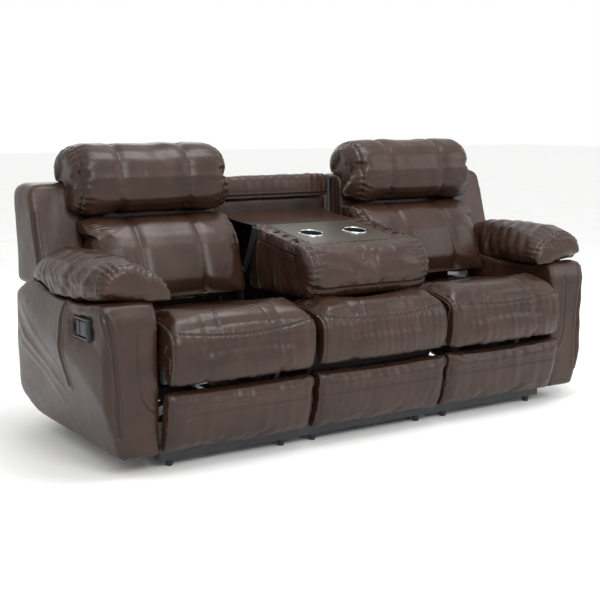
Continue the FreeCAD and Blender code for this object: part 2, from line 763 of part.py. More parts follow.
def back_hinge_plates():
    """Steel plates on the posts' outer faces, with the pins that the back turns on."""
    x1 = SEAT_CENTRE + PLATE_OUTER - PLATE_THICK - 2
    x0 = x1 - PLATE_THICK
    y, z = BACK_PIVOT
    front = y + FRAME_SETBACK
    rear = front + 26
    plate = side_prism([
        (y - 14, z), (y - 8, z - 12), (y + 8, z - 12), (y + 14, z), (rear, z + 50), (rear, 520),
        (y + 26, 520), (y + 16, z + 60),
    ], x0, x1)
    stud = pin((x1, y, z), (x1 + 9, y, z), HINGE_PIN_RADIUS)
    packing = box(x0 - 3, x0, front, rear, z + 54, 512)
    return about_seat(union([plate, stud, packing]))


def back_shell():
    shell = side_prism(shell_outline(), CENTRE_HALF + 2, SHELL_OUTER)
    inside = back_frame() + back_hinge_plates()
    for piece in inside:
        shell = shell.cut(piece)
    return shell


def wing_outline():
    """The wing seen from the side: its front face leans back with the cushions."""
    return [
        WING_FRONT[0], WING_FRONT[1], ((250, 886), (278, BACK_TOP)), (362, BACK_TOP),
        ((385, 890), (392, 868)), (388, WING_FOOT + 12), (374, WING_FOOT),
    ]


def wing_space():
    """What the arm pad leaves free in front of the wing, seen from the side."""
    (foot_y, foot_z), (top_y, top_z) = WING_FRONT
    y = foot_y - WING_GAP
    return [(y, foot_z), (top_y - WING_GAP, top_z), (HALF_DEPTH, top_z), (HALF_DEPTH, PAD_FOOT - 10),
            (y, PAD_FOOT - 10)]


def back_wing():
    """The padded wing beside the cushions, over the arm, its outer front edge rounded."""
    side = side_prism(wing_outline(), SHELL_OUTER, WING_OUTER)
    r = WING_CORNER
    bend = r * (1 - math.sqrt(0.5))
    front = front_prism(soft_outline([
        (SHELL_OUTER, 500), (WING_OUTER, 500), (WING_OUTER, BACK_TOP - r),
        ((WING_OUTER - bend, BACK_TOP - bend), (WING_OUTER - r, BACK_TOP)), (SHELL_OUTER, BACK_TOP),
    ]), 100, 420)
    (foot_y, foot_z), (top_y, top_z) = WING_FRONT
    r = WING_EDGE
    bend = r * (1 - math.sqrt(0.5))
    plan = outline(soft_outline([
        (SHELL_OUTER, foot_y), (WING_OUTER - r, foot_y),
        ((WING_OUTER - bend, foot_y + bend), (WING_OUTER, foot_y + r)),
        (WING_OUTER, HALF_DEPTH), (SHELL_OUTER, HALF_DEPTH),
    ]), lambda p: Vec(p[0], p[1], foot_z))
    rise = (BACK_TOP - foot_z) / (top_z - foot_z)
    leaning = Part.Face(plan).extrude(Vec(0, (top_y - foot_y) * rise, BACK_TOP - foot_z))
    return side.common(front).common(leaning)


def lower_back_outline():
    return [
        (-14, 488), ((2, 560), (26, 628)), ((62, 704), (134, 764)), ((160, 774), (200, 774)),
        (243, 770), (219, 488),
    ]


def lower_back_cushion():
    """The thick lower cushion, narrowed where the arm pad stands beside it."""
    x0 = CENTRE_HALF + 2
    x1 = ARM_INNER + 26
    ends = [(0, 0.90, 0.975), (10, 0.957, 0.99), (32, 1.0, 1.0)]
    rows = padded_stations((x0 + x1) / 2, (x1 - x0) / 2, LOWER_BACK_SEAMS, ends, 0.016)
    body = soft_loft(lower_back_outline(), rows, (231, 630))
    pad_space = box(SHELL_OUTER, ARM_INNER + 60, -60, 240, 470, 716)
    body = body.cut(pad_space).cut(side_prism(wing_outline(), SHELL_OUTER, WING_OUTER))
    return body.cut(side_prism(shell_outline(), CENTRE_HALF + 2, SHELL_OUTER))


def headrest_outline():
    return [
        (160, 781), ((126, 848), (140, 930)), ((172, 1005), (256, HEIGHT)), ((334, 1004), (352, 925)),
        (340, 899), (262, 899), (244, 781),
    ]


def headrest_cushion():
    """The puffy upper cushion that hangs over the top of the back."""
    x0 = CENTRE_HALF - 8
    x1 = ARM_INNER + 57
    ends = [(0, 0.60, 0.58), (12, 0.80, 0.77), (36, 0.94, 0.92), (76, 1.0, 1.0)]
    rows = padded_stations((x0 + x1) / 2, (x1 - x0) / 2, HEADREST_SEAMS, ends, 0.02)
    body = soft_loft(headrest_outline(), rows, (250, 870))
    wing = side_prism(wing_outline(), SHELL_OUTER, WING_OUTER)
    shell = side_prism(shell_outline(), CENTRE_HALF + 2, SHELL_OUTER)
    beside_shell = box(CENTRE_HALF - 20, CENTRE_HALF + 2, 240, 400, 700, 899)
    return body.cut(wing).cut(shell).cut(beside_shell)


# Centre seat and back, fixed

def center_seat_frame():
    """Boards that stand on the base, two sides, a front and a rear, and the deck on them."""
    side = box(248, 266, -356, 150, RAIL_TOP, SEAT_BASE_Z - 12)
    front = box(-248, 248, -356, -340, RAIL_TOP, SEAT_BASE_Z - 12)
    rear = box(-248, 248, 62, 80, RAIL_TOP, SEAT_BASE_Z - 12)
    deck = box(-266, 266, FRONT_CROSS_Y[0], SEAT_REAR_Y, SEAT_BASE_Z - 12, SEAT_BASE_Z)
    return both_sides(side) + [front, rear, deck]


def center_front_panel():
    """The fixed front below the centre seat: a board with a pad like the footrests'."""
    half = CENTRE_CUSHION_HALF
    board = side_prism([(board_front(260), 260), (board_front(66), 66), (-356, 66), (-356, 260)],
                       -half + 20, half - 20)
    return [footrest_pad(0, half), board]


def center_back_frame():
    """Two posts on the rear rail and the board between them."""
    x0 = CENTRE_POST_X
    x1 = x0 + CENTRE_POST_WIDTH
    post = box(x0, x1, *CENTRE_POST_Y, 150, TOP_RAIL_Z)
    foot = box(x0, x1, CENTRE_POST_Y[0], REAR_SKIN_Y, RAIL_TOP, 150)
    brace = box(-x0, x0, CENTRE_POST_Y[0], CENTRE_POST_Y[1], 250, 300)
    seat_tie = box(x0 + 10, x1 - 10, 150, CENTRE_POST_Y[0], 250, 290)
    return both_sides(union([post, foot])) + [brace] + both_sides(seat_tie)


def center_back_panel():
    """The upholstered board at the back of the recess."""
    half = TOP_RAIL_HALF - 2
    return box(-half, half, RECESS_FRONT_Y, CENTRE_POST_Y[0], 470, TOP_RAIL_Z)


def center_top_rail_pad():
    """The padded rail across the top of the recess."""
    spec = [
        (RECESS_FRONT_Y - 4, TOP_RAIL_Z), ((RECESS_FRONT_Y - 9, 850), (RECESS_FRONT_Y - 2, 884)),
        ((RECESS_FRONT_Y + 8, 895), (RECESS_FRONT_Y + 26, 896)), (368, 896),
        ((384, 890), (REAR_SKIN_Y, 872)), (REAR_SKIN_Y, TOP_RAIL_Z),
    ]
    ends = [(TOP_RAIL_HALF, 0.96, 0.985), (TOP_RAIL_HALF - 14, 1.0, 1.0)]
    rows = [(-x, scale_y, scale_z) for x, scale_y, scale_z in ends]
    rows += [(x, scale_y, scale_z) for x, scale_y, scale_z in reversed(ends)]
    return soft_loft(spec, rows, (REAR_SKIN_Y, TOP_RAIL_Z))


def rear_cover_panels():
    """The outside back: one tall panel in the middle and a low one behind each end seat."""
    middle = box(-TOP_RAIL_HALF, TOP_RAIL_HALF, CENTRE_POST_Y[1], REAR_SKIN_Y, 150, TOP_RAIL_Z)
    foot = box(-TOP_RAIL_HALF, TOP_RAIL_HALF, REAR_SKIN_Y, REAR_SKIN_Y + 12, RAIL_TOP, 150)
    skirt = box(CENTRE_HALF, ARM_INNER, SKIRT_Y, SKIRT_Y + 16, RAIL_TOP - 20, SKIRT_TOP)
    return both_sides(skirt) + [middle, foot]


# Console

def console_place(shape):
    """Turn a piece that is drawn flat about the tray's centre into its place."""
    shape.rotate(Vec(0, 0, 0), Vec(1, 0, 0), CONSOLE_TILT)
    shape.translate(Vec(0, *TRAY_CENTRE))
    return shape


def cup_places(z0, z1):
    """The ends of each cup's axis between two heights."""
    return [((side * CUP_SPACING, CUP_Y, z0), (side * CUP_SPACING, CUP_Y, z1)) for side in (LEFT, RIGHT)]


def console_tray():
    """The flat tray with a hole for each cup."""
    plate = box(-TRAY_HALF_WIDTH, TRAY_HALF_WIDTH, -TRAY_HALF_LENGTH, TRAY_HALF_LENGTH,
                -TRAY_THICK, 0)
    for start, end in cup_places(-TRAY_THICK - 1, 1):
        plate = plate.cut(hole(start, end, CUP_RADIUS + CUP_WALL, TUBE_SIDES))
    return console_place(plate)


def console_board():
    board = box(-CONSOLE_BOARD_HALF, CONSOLE_BOARD_HALF, -TRAY_HALF_LENGTH + 5,
                TRAY_HALF_LENGTH + 6, -TRAY_THICK - CONSOLE_BOARD_THICK, -TRAY_THICK)
    for start, end in cup_places(-60, 1):
        board = board.cut(hole(start, end, CUP_RADIUS + CUP_WALL, TUBE_SIDES))
    return console_place(board)


def console_cups():
    """Two open cups with a closed bottom."""
    cups = []
    for bottom, top in cup_places(-CUP_DEPTH, 0):
        outer = peg(bottom, top, CUP_RADIUS + CUP_WALL, CUP_SIDES)
        inner = peg(bottom, top, CUP_RADIUS, CUP_SIDES)
        inner.translate(Vec(0, 0, CUP_WALL))
        cups.append(console_place(outer.cut(inner)))
    return cups


def console_cup_rings():
    """Flat metal rims that lie on the tray round the cups."""
    rims = []
    for start, end in cup_places(0, CUP_RING_HEIGHT):
        outer = peg(start, end, CUP_RING_RADIUS, CUP_SIDES)
        rims.append(console_place(outer.cut(peg(start, end, CUP_RADIUS, CUP_SIDES))))
    return rims


def console_outline():
    """The folded console seen from the side: front roll, underside, rear end, tray plane."""
    return [
        (-268, 684.5), ((-322, 686), (-354, 648)), ((-374, 592), (-358, 540)),
        ((-342, 507), (-300, 501)), (-250, 500), (40, 494), ((66, 500), (72, 540)),
        ((66, 640), (44, 731)),
    ]


def console_cushion():
    """The leather cushion under and around the tray, with its front roll."""
    half = CONSOLE_HALF
    rows = [
        (-half, 0.965, 0.90), (-half + 9, 0.985, 0.955), (-half + 26, 1.0, 1.0), (0, 1.0, 1.0),
        (half - 26, 1.0, 1.0), (half - 9, 0.985, 0.955), (half, 0.965, 0.90),
    ]
    body = soft_loft(console_outline(), rows, (40, 640))
    space = console_place(box(-TRAY_HALF_WIDTH, TRAY_HALF_WIDTH, -TRAY_HALF_LENGTH,
                              TRAY_HALF_LENGTH + 30, -TRAY_THICK, 60))
    body = body.cut(space).cut(console_board())
    for start, end in cup_places(-CUP_DEPTH, 1):
        body = body.cut(console_place(hole(start, end, CUP_RADIUS + CUP_WALL, TUBE_SIDES)))
    for side in (LEFT, RIGHT):
        cheek = box(side * (CONSOLE_ARM_X - 2), side * (CONSOLE_HALF + 2), -20, 120, 480, 760)
        body = body.cut(cheek)
    return body


def console_hinge_arms():
    """Steel arms from the board down to the hinge pins."""
    x0 = CONSOLE_BOARD_HALF
    x1 = x0 + PLATE_THICK
    y, z = CONSOLE_PIVOT
    arm = side_prism([
        (y + 15, z), (y + 8, z - 13), (y - 8, z - 13), (y - 15, z), (18, 676), (-14, 700), (-12, 719),
        (38, 726), (52, 690),
    ], x0, x1)
    arm = arm.cut(hole((x0 - 1, y, z), (x1 + 1, y, z), HINGE_PIN_RADIUS + RUNNING_GAP))
    return both_sides(arm)


def console_hinge_brackets():
    """Uprights behind the centre seat, with the pins that carry the console."""
    x0 = CONSOLE_BRACKET_X
    x1 = x0 + PLATE_THICK
    y, z = CONSOLE_PIVOT
    upright = side_prism([
        (y - 14, 200), (y + 30, 200), (y + 15, z), (y + 8, z + 13), (y - 8, z + 13), (y - 15, z),
    ], x0, x1)
    stud = pin((CONSOLE_BOARD_HALF - 1, y, z), (x0, y, z), HINGE_PIN_RADIUS)
    collar = peg((x0 - 8, y, z), (x0, y, z), HINGE_PIN_RADIUS + 4)
    return both_sides(union([upright, stud, collar]))


def console_flap():
    """The leather flap from the recess's board down to the rear edge of the tray."""
    thick = 3.0
    return side_prism([
        (52, 727), (RECESS_FRONT_Y, 752), (RECESS_FRONT_Y, 752 + thick), (52, 727 + thick),
    ], -244, 244)


def main():
    os.makedirs("parts", exist_ok=True)
    save("front_base_rails", rail_set(FRONT_RAIL_Y))
    save("base_chassis", base_chassis())
    save("floor_glides", floor_glides())
    save("frame_bolts", frame_bolts())
    save("lever_bezels", lever_bezels())
    save("center_seat_frame", center_seat_frame())
    save("center_seat_cushion", seat_cushion(0, CENTRE_CUSHION_HALF, CENTRE_CROWN_DROP))
    save("center_front_panel", center_front_panel())
    save("center_back_frame", center_back_frame())
    save("center_back_panel", center_back_panel())
    save("center_top_rail_pad", center_top_rail_pad())
    save("rear_cover_panels", rear_cover_panels())
    save("console_tray", console_tray())
    save("console_board", console_board())
    save("console_cups", console_cups())
    save("console_cup_rings", console_cup_rings())
    save("console_cushion", console_cushion())
    save("console_hinge_arms", console_hinge_arms())
    save("console_hinge_brackets", console_hinge_brackets())
    save("console_flap", console_flap())
    right_pieces = {
        "arm_body": arm_body(),
        "arm_pad": arm_pad(),
        "release_lever": release_lever(),
        "seat_cross_rails": seat_cross_rails(),
        "seat_webbing": seat_webbing(),
        "seat_cushion": seat_cushion(SEAT_CENTRE, CUSHION_HALF, 1.0),
        "mechanism_plates": mechanism_plates(),
        "drive_links": drive_links(),
        "crank_links": crank_links(),
        "reach_links": reach_links(),
        "stay_links": stay_links(),
        "footrest_brackets": footrest_brackets(),
        "footrest_board": footrest_board(),
        "footrest_pad": footrest_pad(),
        "back_frame": back_frame(),
        "back_hinge_plates": back_hinge_plates(),
        "back_shell": back_shell(),
        "back_wing": back_wing(),
        "lower_back_cushion": lower_back_cushion(),
        "headrest_cushion": headrest_cushion(),
    }
    for side_name, side in SIDES.items():
        for name, shape in right_pieces.items():
            if isinstance(shape, list):
                save(side_name + "_" + name, [mirrored(piece, side) for piece in shape])
            else:
                save(side_name + "_" + name, mirrored(shape, side))


main()
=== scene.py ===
"""Leather sofa with two reclining end seats and a fold-down console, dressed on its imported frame.

Metres. X runs along the sofa, Y from the front to the back, Z up.
"""

import json
import logging
import math
from contextlib import contextmanager
from dataclasses import dataclass
from enum import Enum
from typing import Callable, Iterator, Sequence

import bpy
import numpy as np
from mathutils import Euler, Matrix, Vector
from mathutils.bvhtree import BVHTree

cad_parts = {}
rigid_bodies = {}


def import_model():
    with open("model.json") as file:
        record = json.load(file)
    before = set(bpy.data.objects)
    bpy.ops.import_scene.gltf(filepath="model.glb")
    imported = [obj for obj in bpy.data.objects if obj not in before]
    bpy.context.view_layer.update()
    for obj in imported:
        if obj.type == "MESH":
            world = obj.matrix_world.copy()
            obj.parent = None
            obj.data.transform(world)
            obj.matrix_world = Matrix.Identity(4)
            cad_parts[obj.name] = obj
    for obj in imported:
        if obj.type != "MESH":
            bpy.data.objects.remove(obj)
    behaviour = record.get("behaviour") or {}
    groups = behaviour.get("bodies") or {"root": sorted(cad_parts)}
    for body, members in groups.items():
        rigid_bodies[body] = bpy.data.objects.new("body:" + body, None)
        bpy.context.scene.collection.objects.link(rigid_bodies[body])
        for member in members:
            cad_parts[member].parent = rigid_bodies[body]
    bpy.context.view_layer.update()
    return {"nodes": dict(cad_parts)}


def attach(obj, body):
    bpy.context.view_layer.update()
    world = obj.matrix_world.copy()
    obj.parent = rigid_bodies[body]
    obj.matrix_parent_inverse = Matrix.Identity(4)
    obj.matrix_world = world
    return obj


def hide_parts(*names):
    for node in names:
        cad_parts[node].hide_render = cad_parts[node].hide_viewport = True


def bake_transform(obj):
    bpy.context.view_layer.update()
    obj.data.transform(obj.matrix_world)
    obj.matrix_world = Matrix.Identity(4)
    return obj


LOG = logging.getLogger("sofa")
SEAT_CENTRE = 0.572
FROM_FRONT = (0.0, 1.0, 0.0)
FROM_REAR = (0.0, -1.0, 0.0)
FROM_TOP = (0.0, 0.0, -1.0)
SIMULATED_FRAMES = 20
Piece = bpy.types.Object
Tree = bpy.types.NodeTree
Socket = bpy.types.NodeSocket
Material = bpy.types.Material
Point = tuple[float, float, float]
Pair = tuple[float, float]
Mask = Callable[[np.ndarray], np.ndarray]


class Side(Enum):
    """The two ends of the sofa. The left one is at negative X."""

    LEFT = -1
    RIGHT = 1

    @property
    def prefix(self) -> str:
        """The word that this end's nodes start with."""
        return self.name.lower() + "_"


# Materials


def hex_rgba(code: str) -> tuple[float, float, float, float]:
    """Turn an sRGB hex colour into linear light.

    Args:
        code: Six hex digits, such as "3b2c26".

    Returns:
        Red, green, blue and alpha for a shader socket.
    """
    values = [int(code[i:i + 2], 16) / 255 for i in (0, 2, 4)]
    linear = [v / 12.92 if v <= 0.04045 else ((v + 0.055) / 1.055) ** 2.4 for v in values]
    return (linear[0], linear[1], linear[2], 1.0)


def add_node(tree: Tree, kind: str, inputs: dict | None = None, **settings: object) -> bpy.types.Node:
    """Add a shader node with its settings, values and links.

    Args:
        tree: The material's node tree.
        kind: The node's type name.
        inputs: For each input socket, a value or the output socket to link from.
        settings: Attributes of the node itself.

    Returns:
        The new node.
    """
    node = tree.nodes.new(kind)
    for name, value in settings.items():
        setattr(node, name, value)
    for key, value in (inputs or {}).items():
        if isinstance(value, Socket):
            tree.links.new(value, node.inputs[key])
        else:
            node.inputs[key].default_value = value
    return node


def ramp(tree: Tree, source: Socket, stops: Sequence[tuple[float, str]]) -> Socket:
    """Colour a pattern.

    Args:
        tree: The material's node tree.
        source: The pattern's output.
        stops: Positions with sRGB hex colours.

    Returns:
        The colour output.
    """
    node = add_node(tree, "ShaderNodeValToRGB", {"Fac": source})
    elements = node.color_ramp.elements
    while len(elements) < len(stops):
        elements.new(0.5)
    for element, (position, code) in zip(elements, stops):
        element.position = position
        element.color = hex_rgba(code)
    return node.outputs["Color"]


@dataclass(frozen=True)
class Leather:
    """Bonded leather, pigment-coated and embossed: a satin sheen over a fine pebble grain, with painted shade
    in its seams and folds.
    """

    name: str = "bonded_leather_espresso"
    light: str = "38241a"
    dark: str = "27170f"
    # The colour of the painted shade in seam grooves and fold valleys.
    hollow: str = "0e0705"
    roughness: float = 0.36
    grain_mm: float = 1.6
    crease_mm: float = 9.0

    def build(self) -> Material:
        """Make the material; its grain is drawn a little coarser than the real 1 mm, so that it shows."""
        material = bpy.data.materials.new(self.name)
        material.use_nodes = True
        tree = material.node_tree
        shader = tree.nodes["Principled BSDF"]
        place = add_node(tree, "ShaderNodeTexCoord").outputs["Object"]
        cloudy = add_node(tree, "ShaderNodeTexNoise",
                          {"Vector": place, "Scale": 7.0, "Detail": 4.0, "Roughness": 0.6})
        base = ramp(tree, cloudy.outputs["Fac"], [(0.3, self.dark), (0.7, self.light)])
        # Painted shade: the attribute written by the skin darkens seam grooves and fold valleys towards the
        # shade colour.
        hollow = add_node(tree, "ShaderNodeAttribute", attribute_name="hollow").outputs["Fac"]
        base_with_shade = add_node(tree, "ShaderNodeMix", {"Factor": hollow, 6: base, 7: hex_rgba(self.hollow)},
                        data_type="RGBA")
        tree.links.new(base_with_shade.outputs[2], shader.inputs["Base Color"])
        worn = add_node(tree, "ShaderNodeTexNoise", {"Vector": place, "Scale": 38.0, "Detail": 3.0})
        rough = add_node(tree, "ShaderNodeMapRange",
                         {"Value": worn.outputs["Fac"], "To Min": self.roughness - 0.06,
                                                      "To Max": self.roughness + 0.1})
        tree.links.new(rough.outputs["Result"], shader.inputs["Roughness"])
        grain = add_node(tree, "ShaderNodeTexVoronoi", {"Vector": place, "Scale": 1000 / self.grain_mm})
        crease = add_node(tree, "ShaderNodeTexNoise",
                          {"Vector": place, "Scale": 1000 / self.crease_mm, "Detail": 3.0,
                                                       "Distortion": 1.2})
        pull = add_node(tree, "ShaderNodeTexNoise",
                        {"Vector": place, "Scale": 21.0, "Detail": 2.0, "Distortion": 0.6})
        low = add_node(tree, "ShaderNodeBump",
                       {"Height": pull.outputs["Fac"], "Strength": 0.35, "Distance": 0.004})
        mid = add_node(tree, "ShaderNodeBump",
                       {"Height": crease.outputs["Fac"], "Strength": 0.22, "Distance": 0.0012,
                                                "Normal": low.outputs["Normal"]})
        fine = add_node(tree, "ShaderNodeBump", {"Height": grain.outputs["Distance"], "Strength": 0.16,
                                                 "Distance": 0.0004, "Normal": mid.outputs["Normal"]})
        tree.links.new(fine.outputs["Normal"], shader.inputs["Normal"])
        shader.inputs["IOR"].default_value = 1.5
        shader.inputs["Specular IOR Level"].default_value = 0.34
        shader.inputs["Coat Weight"].default_value = 0.06
        shader.inputs["Coat Roughness"].default_value = 0.24
        return material


@dataclass(frozen=True)
class Coating:
    """A hard finish with a fine grain: painted or plated steel, moulded plastic, board or laminate."""

    name: str
    light: str
    dark: str
    roughness: float
    metallic: float
    grain_mm: float
    relief_mm: float
    stretch: Point = (1.0, 1.0, 1.0)
    coat: float = 0.0

    def build(self) -> Material:
        """Make the material, its pattern scaled from the grain's real width."""
        material = bpy.data.materials.new(self.name)
        material.use_nodes = True
        tree = material.node_tree
        shader = tree.nodes["Principled BSDF"]
        place = add_node(tree, "ShaderNodeTexCoord").outputs["Object"]
        along = add_node(tree, "ShaderNodeMapping",
                         {"Vector": place, "Scale": self.stretch}).outputs["Vector"]
        grain = add_node(tree, "ShaderNodeTexNoise",
                         {"Vector": along, "Scale": 1000 / self.grain_mm, "Detail": 3.0})
        patch = add_node(tree, "ShaderNodeTexNoise", {"Vector": along, "Scale": 9.0, "Detail": 3.0})
        both = add_node(tree, "ShaderNodeMath", {0: grain.outputs["Fac"], 1: patch.outputs["Fac"]},
                        operation="MULTIPLY")
        tree.links.new(ramp(tree, both.outputs[0], [(0.12, self.dark), (0.42, self.light)]),
                       shader.inputs["Base Color"])
        rough = add_node(tree, "ShaderNodeMapRange",
                         {"Value": patch.outputs["Fac"], "To Min": self.roughness - 0.05,
                                                      "To Max": self.roughness + 0.07})
        tree.links.new(rough.outputs["Result"], shader.inputs["Roughness"])
        bump = add_node(tree, "ShaderNodeBump", {"Height": grain.outputs["Fac"], "Strength": 0.3,
                                                 "Distance": self.relief_mm / 1000})
        tree.links.new(bump.outputs["Normal"], shader.inputs["Normal"])
        shader.inputs["Metallic"].default_value = self.metallic
        shader.inputs["Coat Weight"].default_value = self.coat
        shader.inputs["Coat Roughness"].default_value = 0.2
        return material


# Powder-coated steel: a dark, slightly pebbled paint with a dull sheen.
POWDER_STEEL = Coating("powder_coated_steel", "2f3236", "1f2124", 0.48, 0.0, 1.2, 0.12)
# Zinc-plated steel: pale grey metal with a faint cloudy spangle.
ZINC_STEEL = Coating("zinc_plated_steel", "b4b8bb", "8b9095", 0.34, 1.0, 3.0, 0.05)
# Plywood: pale wood with a long grain.
PLYWOOD = Coating("birch_plywood", "b08d63", "8a6a44", 0.6, 0.0, 2.5, 0.2, (0.12, 1.0, 1.0))
# Black-painted plywood: the boards' grain just shows through thin matt paint.
PAINTED_BOARD = Coating("painted_plywood_black", "1d1a18", "131110", 0.65, 0.0, 2.5, 0.15,
                        (0.12, 1.0, 1.0))
# Moulded ABS: black plastic with a fine spark-eroded texture.
BLACK_ABS = Coating("moulded_abs_black", "26282b", "17181a", 0.42, 0.0, 0.9, 0.1)
# Laminate tray: an olive-brown satin film pressed on board.
LAMINATE = Coating("pressed_laminate_olive", "403a2e", "332e24", 0.36, 0.0, 1.4, 0.04, coat=0.15)
# Chromed brass rim: bright metal.
CHROME = Coating("chrome_plated_rim", "d4d6d6", "bfc2c4", 0.16, 1.0, 6.0, 0.01)
# Elastic webbing: black woven straps.
WEBBING = Coating("woven_elastic_webbing", "3a3b3e", "1d1e20", 0.75, 0.0, 2.2, 0.5, (1.0, 0.3, 1.0))
# Polyester thread, twisted and waxed: a brown slightly lighter than the leather.
THREAD = Coating("twisted_polyester_thread", "5e4c42", "44342c", 0.55, 0.0, 0.8, 0.1)
# Edge band of the tray: black soft plastic.
EDGE_BAND = Coating("extruded_pvc_edge", "1d1b1a", "131211", 0.4, 0.0, 1.5, 0.05)
LEATHER = Leather()
# A darker copy of the leather for the recessed centre panel: painted shade where the recess is in shadow.
SHADE_PAINTED_LEATHER = Leather("bonded_leather_shaded", "2c1c14", "1e120c", "0b0504", 0.42)


class Finishes:
    """Every material, built once."""

    def __init__(self) -> None:
        """Build the materials."""
        recipes = (LEATHER, SHADE_PAINTED_LEATHER, POWDER_STEEL, ZINC_STEEL, PLYWOOD, PAINTED_BOARD, BLACK_ABS,
                   LAMINATE, CHROME, WEBBING,
                   THREAD, EDGE_BAND)
        self.made = {recipe.name: recipe.build() for recipe in recipes}

    def put(self, piece: Piece, finish: Leather | Coating) -> None:
        """Give a piece one finish all over."""
        piece.data.materials.clear()
        piece.data.materials.append(self.made[finish.name])
        for polygon in piece.data.polygons:
            polygon.material_index = 0


# Meshes


def new_piece(
    name: str, points: np.ndarray, faces: Sequence[Sequence[int]], edges: Sequence[tuple[int, int]] = ()
) -> Piece:
    """Make an object at the origin from points, faces and loose edges.

    Args:
        name: The object's name.
        points: One row of X, Y and Z for each point.
        faces: Point numbers round each face, seen from outside.
        edges: The two point numbers of each loose edge.

    Returns:
        The new object.
    """
    mesh = bpy.data.meshes.new(name)
    mesh.from_pydata([tuple(p) for p in points], edges, faces)
    mesh.update()
    piece = bpy.data.objects.new(name, mesh)
    bpy.context.scene.collection.objects.link(piece)
    return piece


def deselect() -> None:
    """Deselect every object."""
    for other in bpy.context.view_layer.objects:
        other.select_set(False)


@contextmanager
def edit_mode() -> Iterator[None]:
    """Work on the active piece in edit mode, and leave it in object mode."""
    bpy.ops.object.mode_set(mode="EDIT")
    yield
    bpy.ops.object.mode_set(mode="OBJECT")


def merge(piece: Piece, distance: float) -> None:
    """Merge points within a distance and turn the faces outwards."""
    choose(piece)
    with edit_mode():
        bpy.ops.mesh.select_all(action="SELECT")
        bpy.ops.mesh.remove_doubles(threshold=distance)
        bpy.ops.mesh.normals_make_consistent(inside=False)


def choose(piece: Piece) -> None:
    """Deselect everything, then select and activate one piece."""
    deselect()
    piece.select_set(True)
    bpy.context.view_layer.objects.active = piece


def finish_modifier(piece: Piece, kind: str, **settings: object) -> None:
    """Add a modifier, set it and apply it."""
    choose(piece)
    modifier = piece.modifiers.new(kind.lower(), kind)
    for name, value in settings.items():
        setattr(modifier, name, value)
    bpy.ops.object.modifier_apply(modifier=modifier.name)


def smooth_shade(piece: Piece, angle: float = 180.0) -> None:
    """Shade a piece smoothly where its faces meet below an angle in degrees."""
    choose(piece)
    if angle >= 180:
        bpy.ops.object.shade_smooth()
    else:
        bpy.ops.object.shade_smooth_by_angle(angle=math.radians(angle))


def copy_node(name: str, node: Piece) -> Piece:
    """Copy a frame node into a new mesh and merge its loose triangles.

    Args:
        name: The new object's name.
        node: The frame's node.

    Returns:
        The new object.
    """
    points = np.array([v.co for v in node.data.vertices])
    piece = new_piece(name, points, [list(f.vertices) for f in node.data.polygons])
    merge(piece, 0.00005)
    return piece


def mirror_copy(piece: Piece, name: str) -> Piece:
    """Copy a piece to the other end of the sofa, with its faces turned outwards again."""
    mesh = piece.data.copy()
    twin = bpy.data.objects.new(name, mesh)
    bpy.context.scene.collection.objects.link(twin)
    points = np.empty(len(mesh.vertices) * 3)
    mesh.vertices.foreach_get("co", points)
    points[0::3] *= -1
    mesh.vertices.foreach_set("co", points)
    mesh.flip_normals()
    mesh.update()
    return twin


def waves(
    points: np.ndarray, size: float, seed: int, stretch: Point = (1.0, 1.0, 1.0), count: int = 7
) -> np.ndarray:
    """Soft seeded noise from a sum of plane waves.

    Args:
        points: Where it is read.
        size: The wave length in metres.
        seed: Which noise.
        stretch: How much longer the waves are along each axis.
        count: How many waves are added.

    Returns:
        Values near -1 to 1.
    """
    chance = np.random.default_rng(seed)
    total = np.zeros(len(points))
    for _ in range(count):
        direction = chance.normal(size=3) / np.array(stretch)
        direction *= 2 * math.pi / (size * chance.uniform(0.7, 1.5) * 1.7)
        total += np.sin(points @ direction + chance.uniform(0, 6.28))
    return total / math.sqrt(count)


def resample(path: np.ndarray, step: float) -> np.ndarray:
    """Points at an even spacing along a path."""
    lengths = np.linalg.norm(np.diff(path, axis=0), axis=1)
    along = np.concatenate([[0.0], np.cumsum(lengths)])
    wanted = np.linspace(0, along[-1], max(2, int(along[-1] / step) + 1))
    return np.stack([np.interp(wanted, along, path[:, axis]) for axis in range(3)], axis=1)


def near_path(points: np.ndarray, path: np.ndarray) -> tuple[np.ndarray, np.ndarray]:
    """How far each point is from a path, and how far along the path it lies.

    Args:
        points: The points to measure.
        path: The path's points in order.

    Returns:
        Distances, and lengths along the path, in metres.
    """
    best = np.full(len(points), np.inf)
    along = np.zeros(len(points))
    run = 0.0
    for start, end in zip(path, path[1:]):
        span = end - start
        length = float(np.linalg.norm(span))
        if length < 1e-9:
            continue
        share = np.clip((points - start) @ span / length**2, 0, 1)
        away = np.linalg.norm(points - (start + share[:, None] * span), axis=1)
        nearer = away < best
        best[nearer] = away[nearer]
        along[nearer] = run + share[nearer] * length
        run += length
    return best, along


def fade(values: np.ndarray, low: float, high: float) -> np.ndarray:
    """A smooth step from 0 at low to 1 at high."""
    share = np.clip((values - low) / (high - low), 0, 1)
    return share * share * (3 - 2 * share)


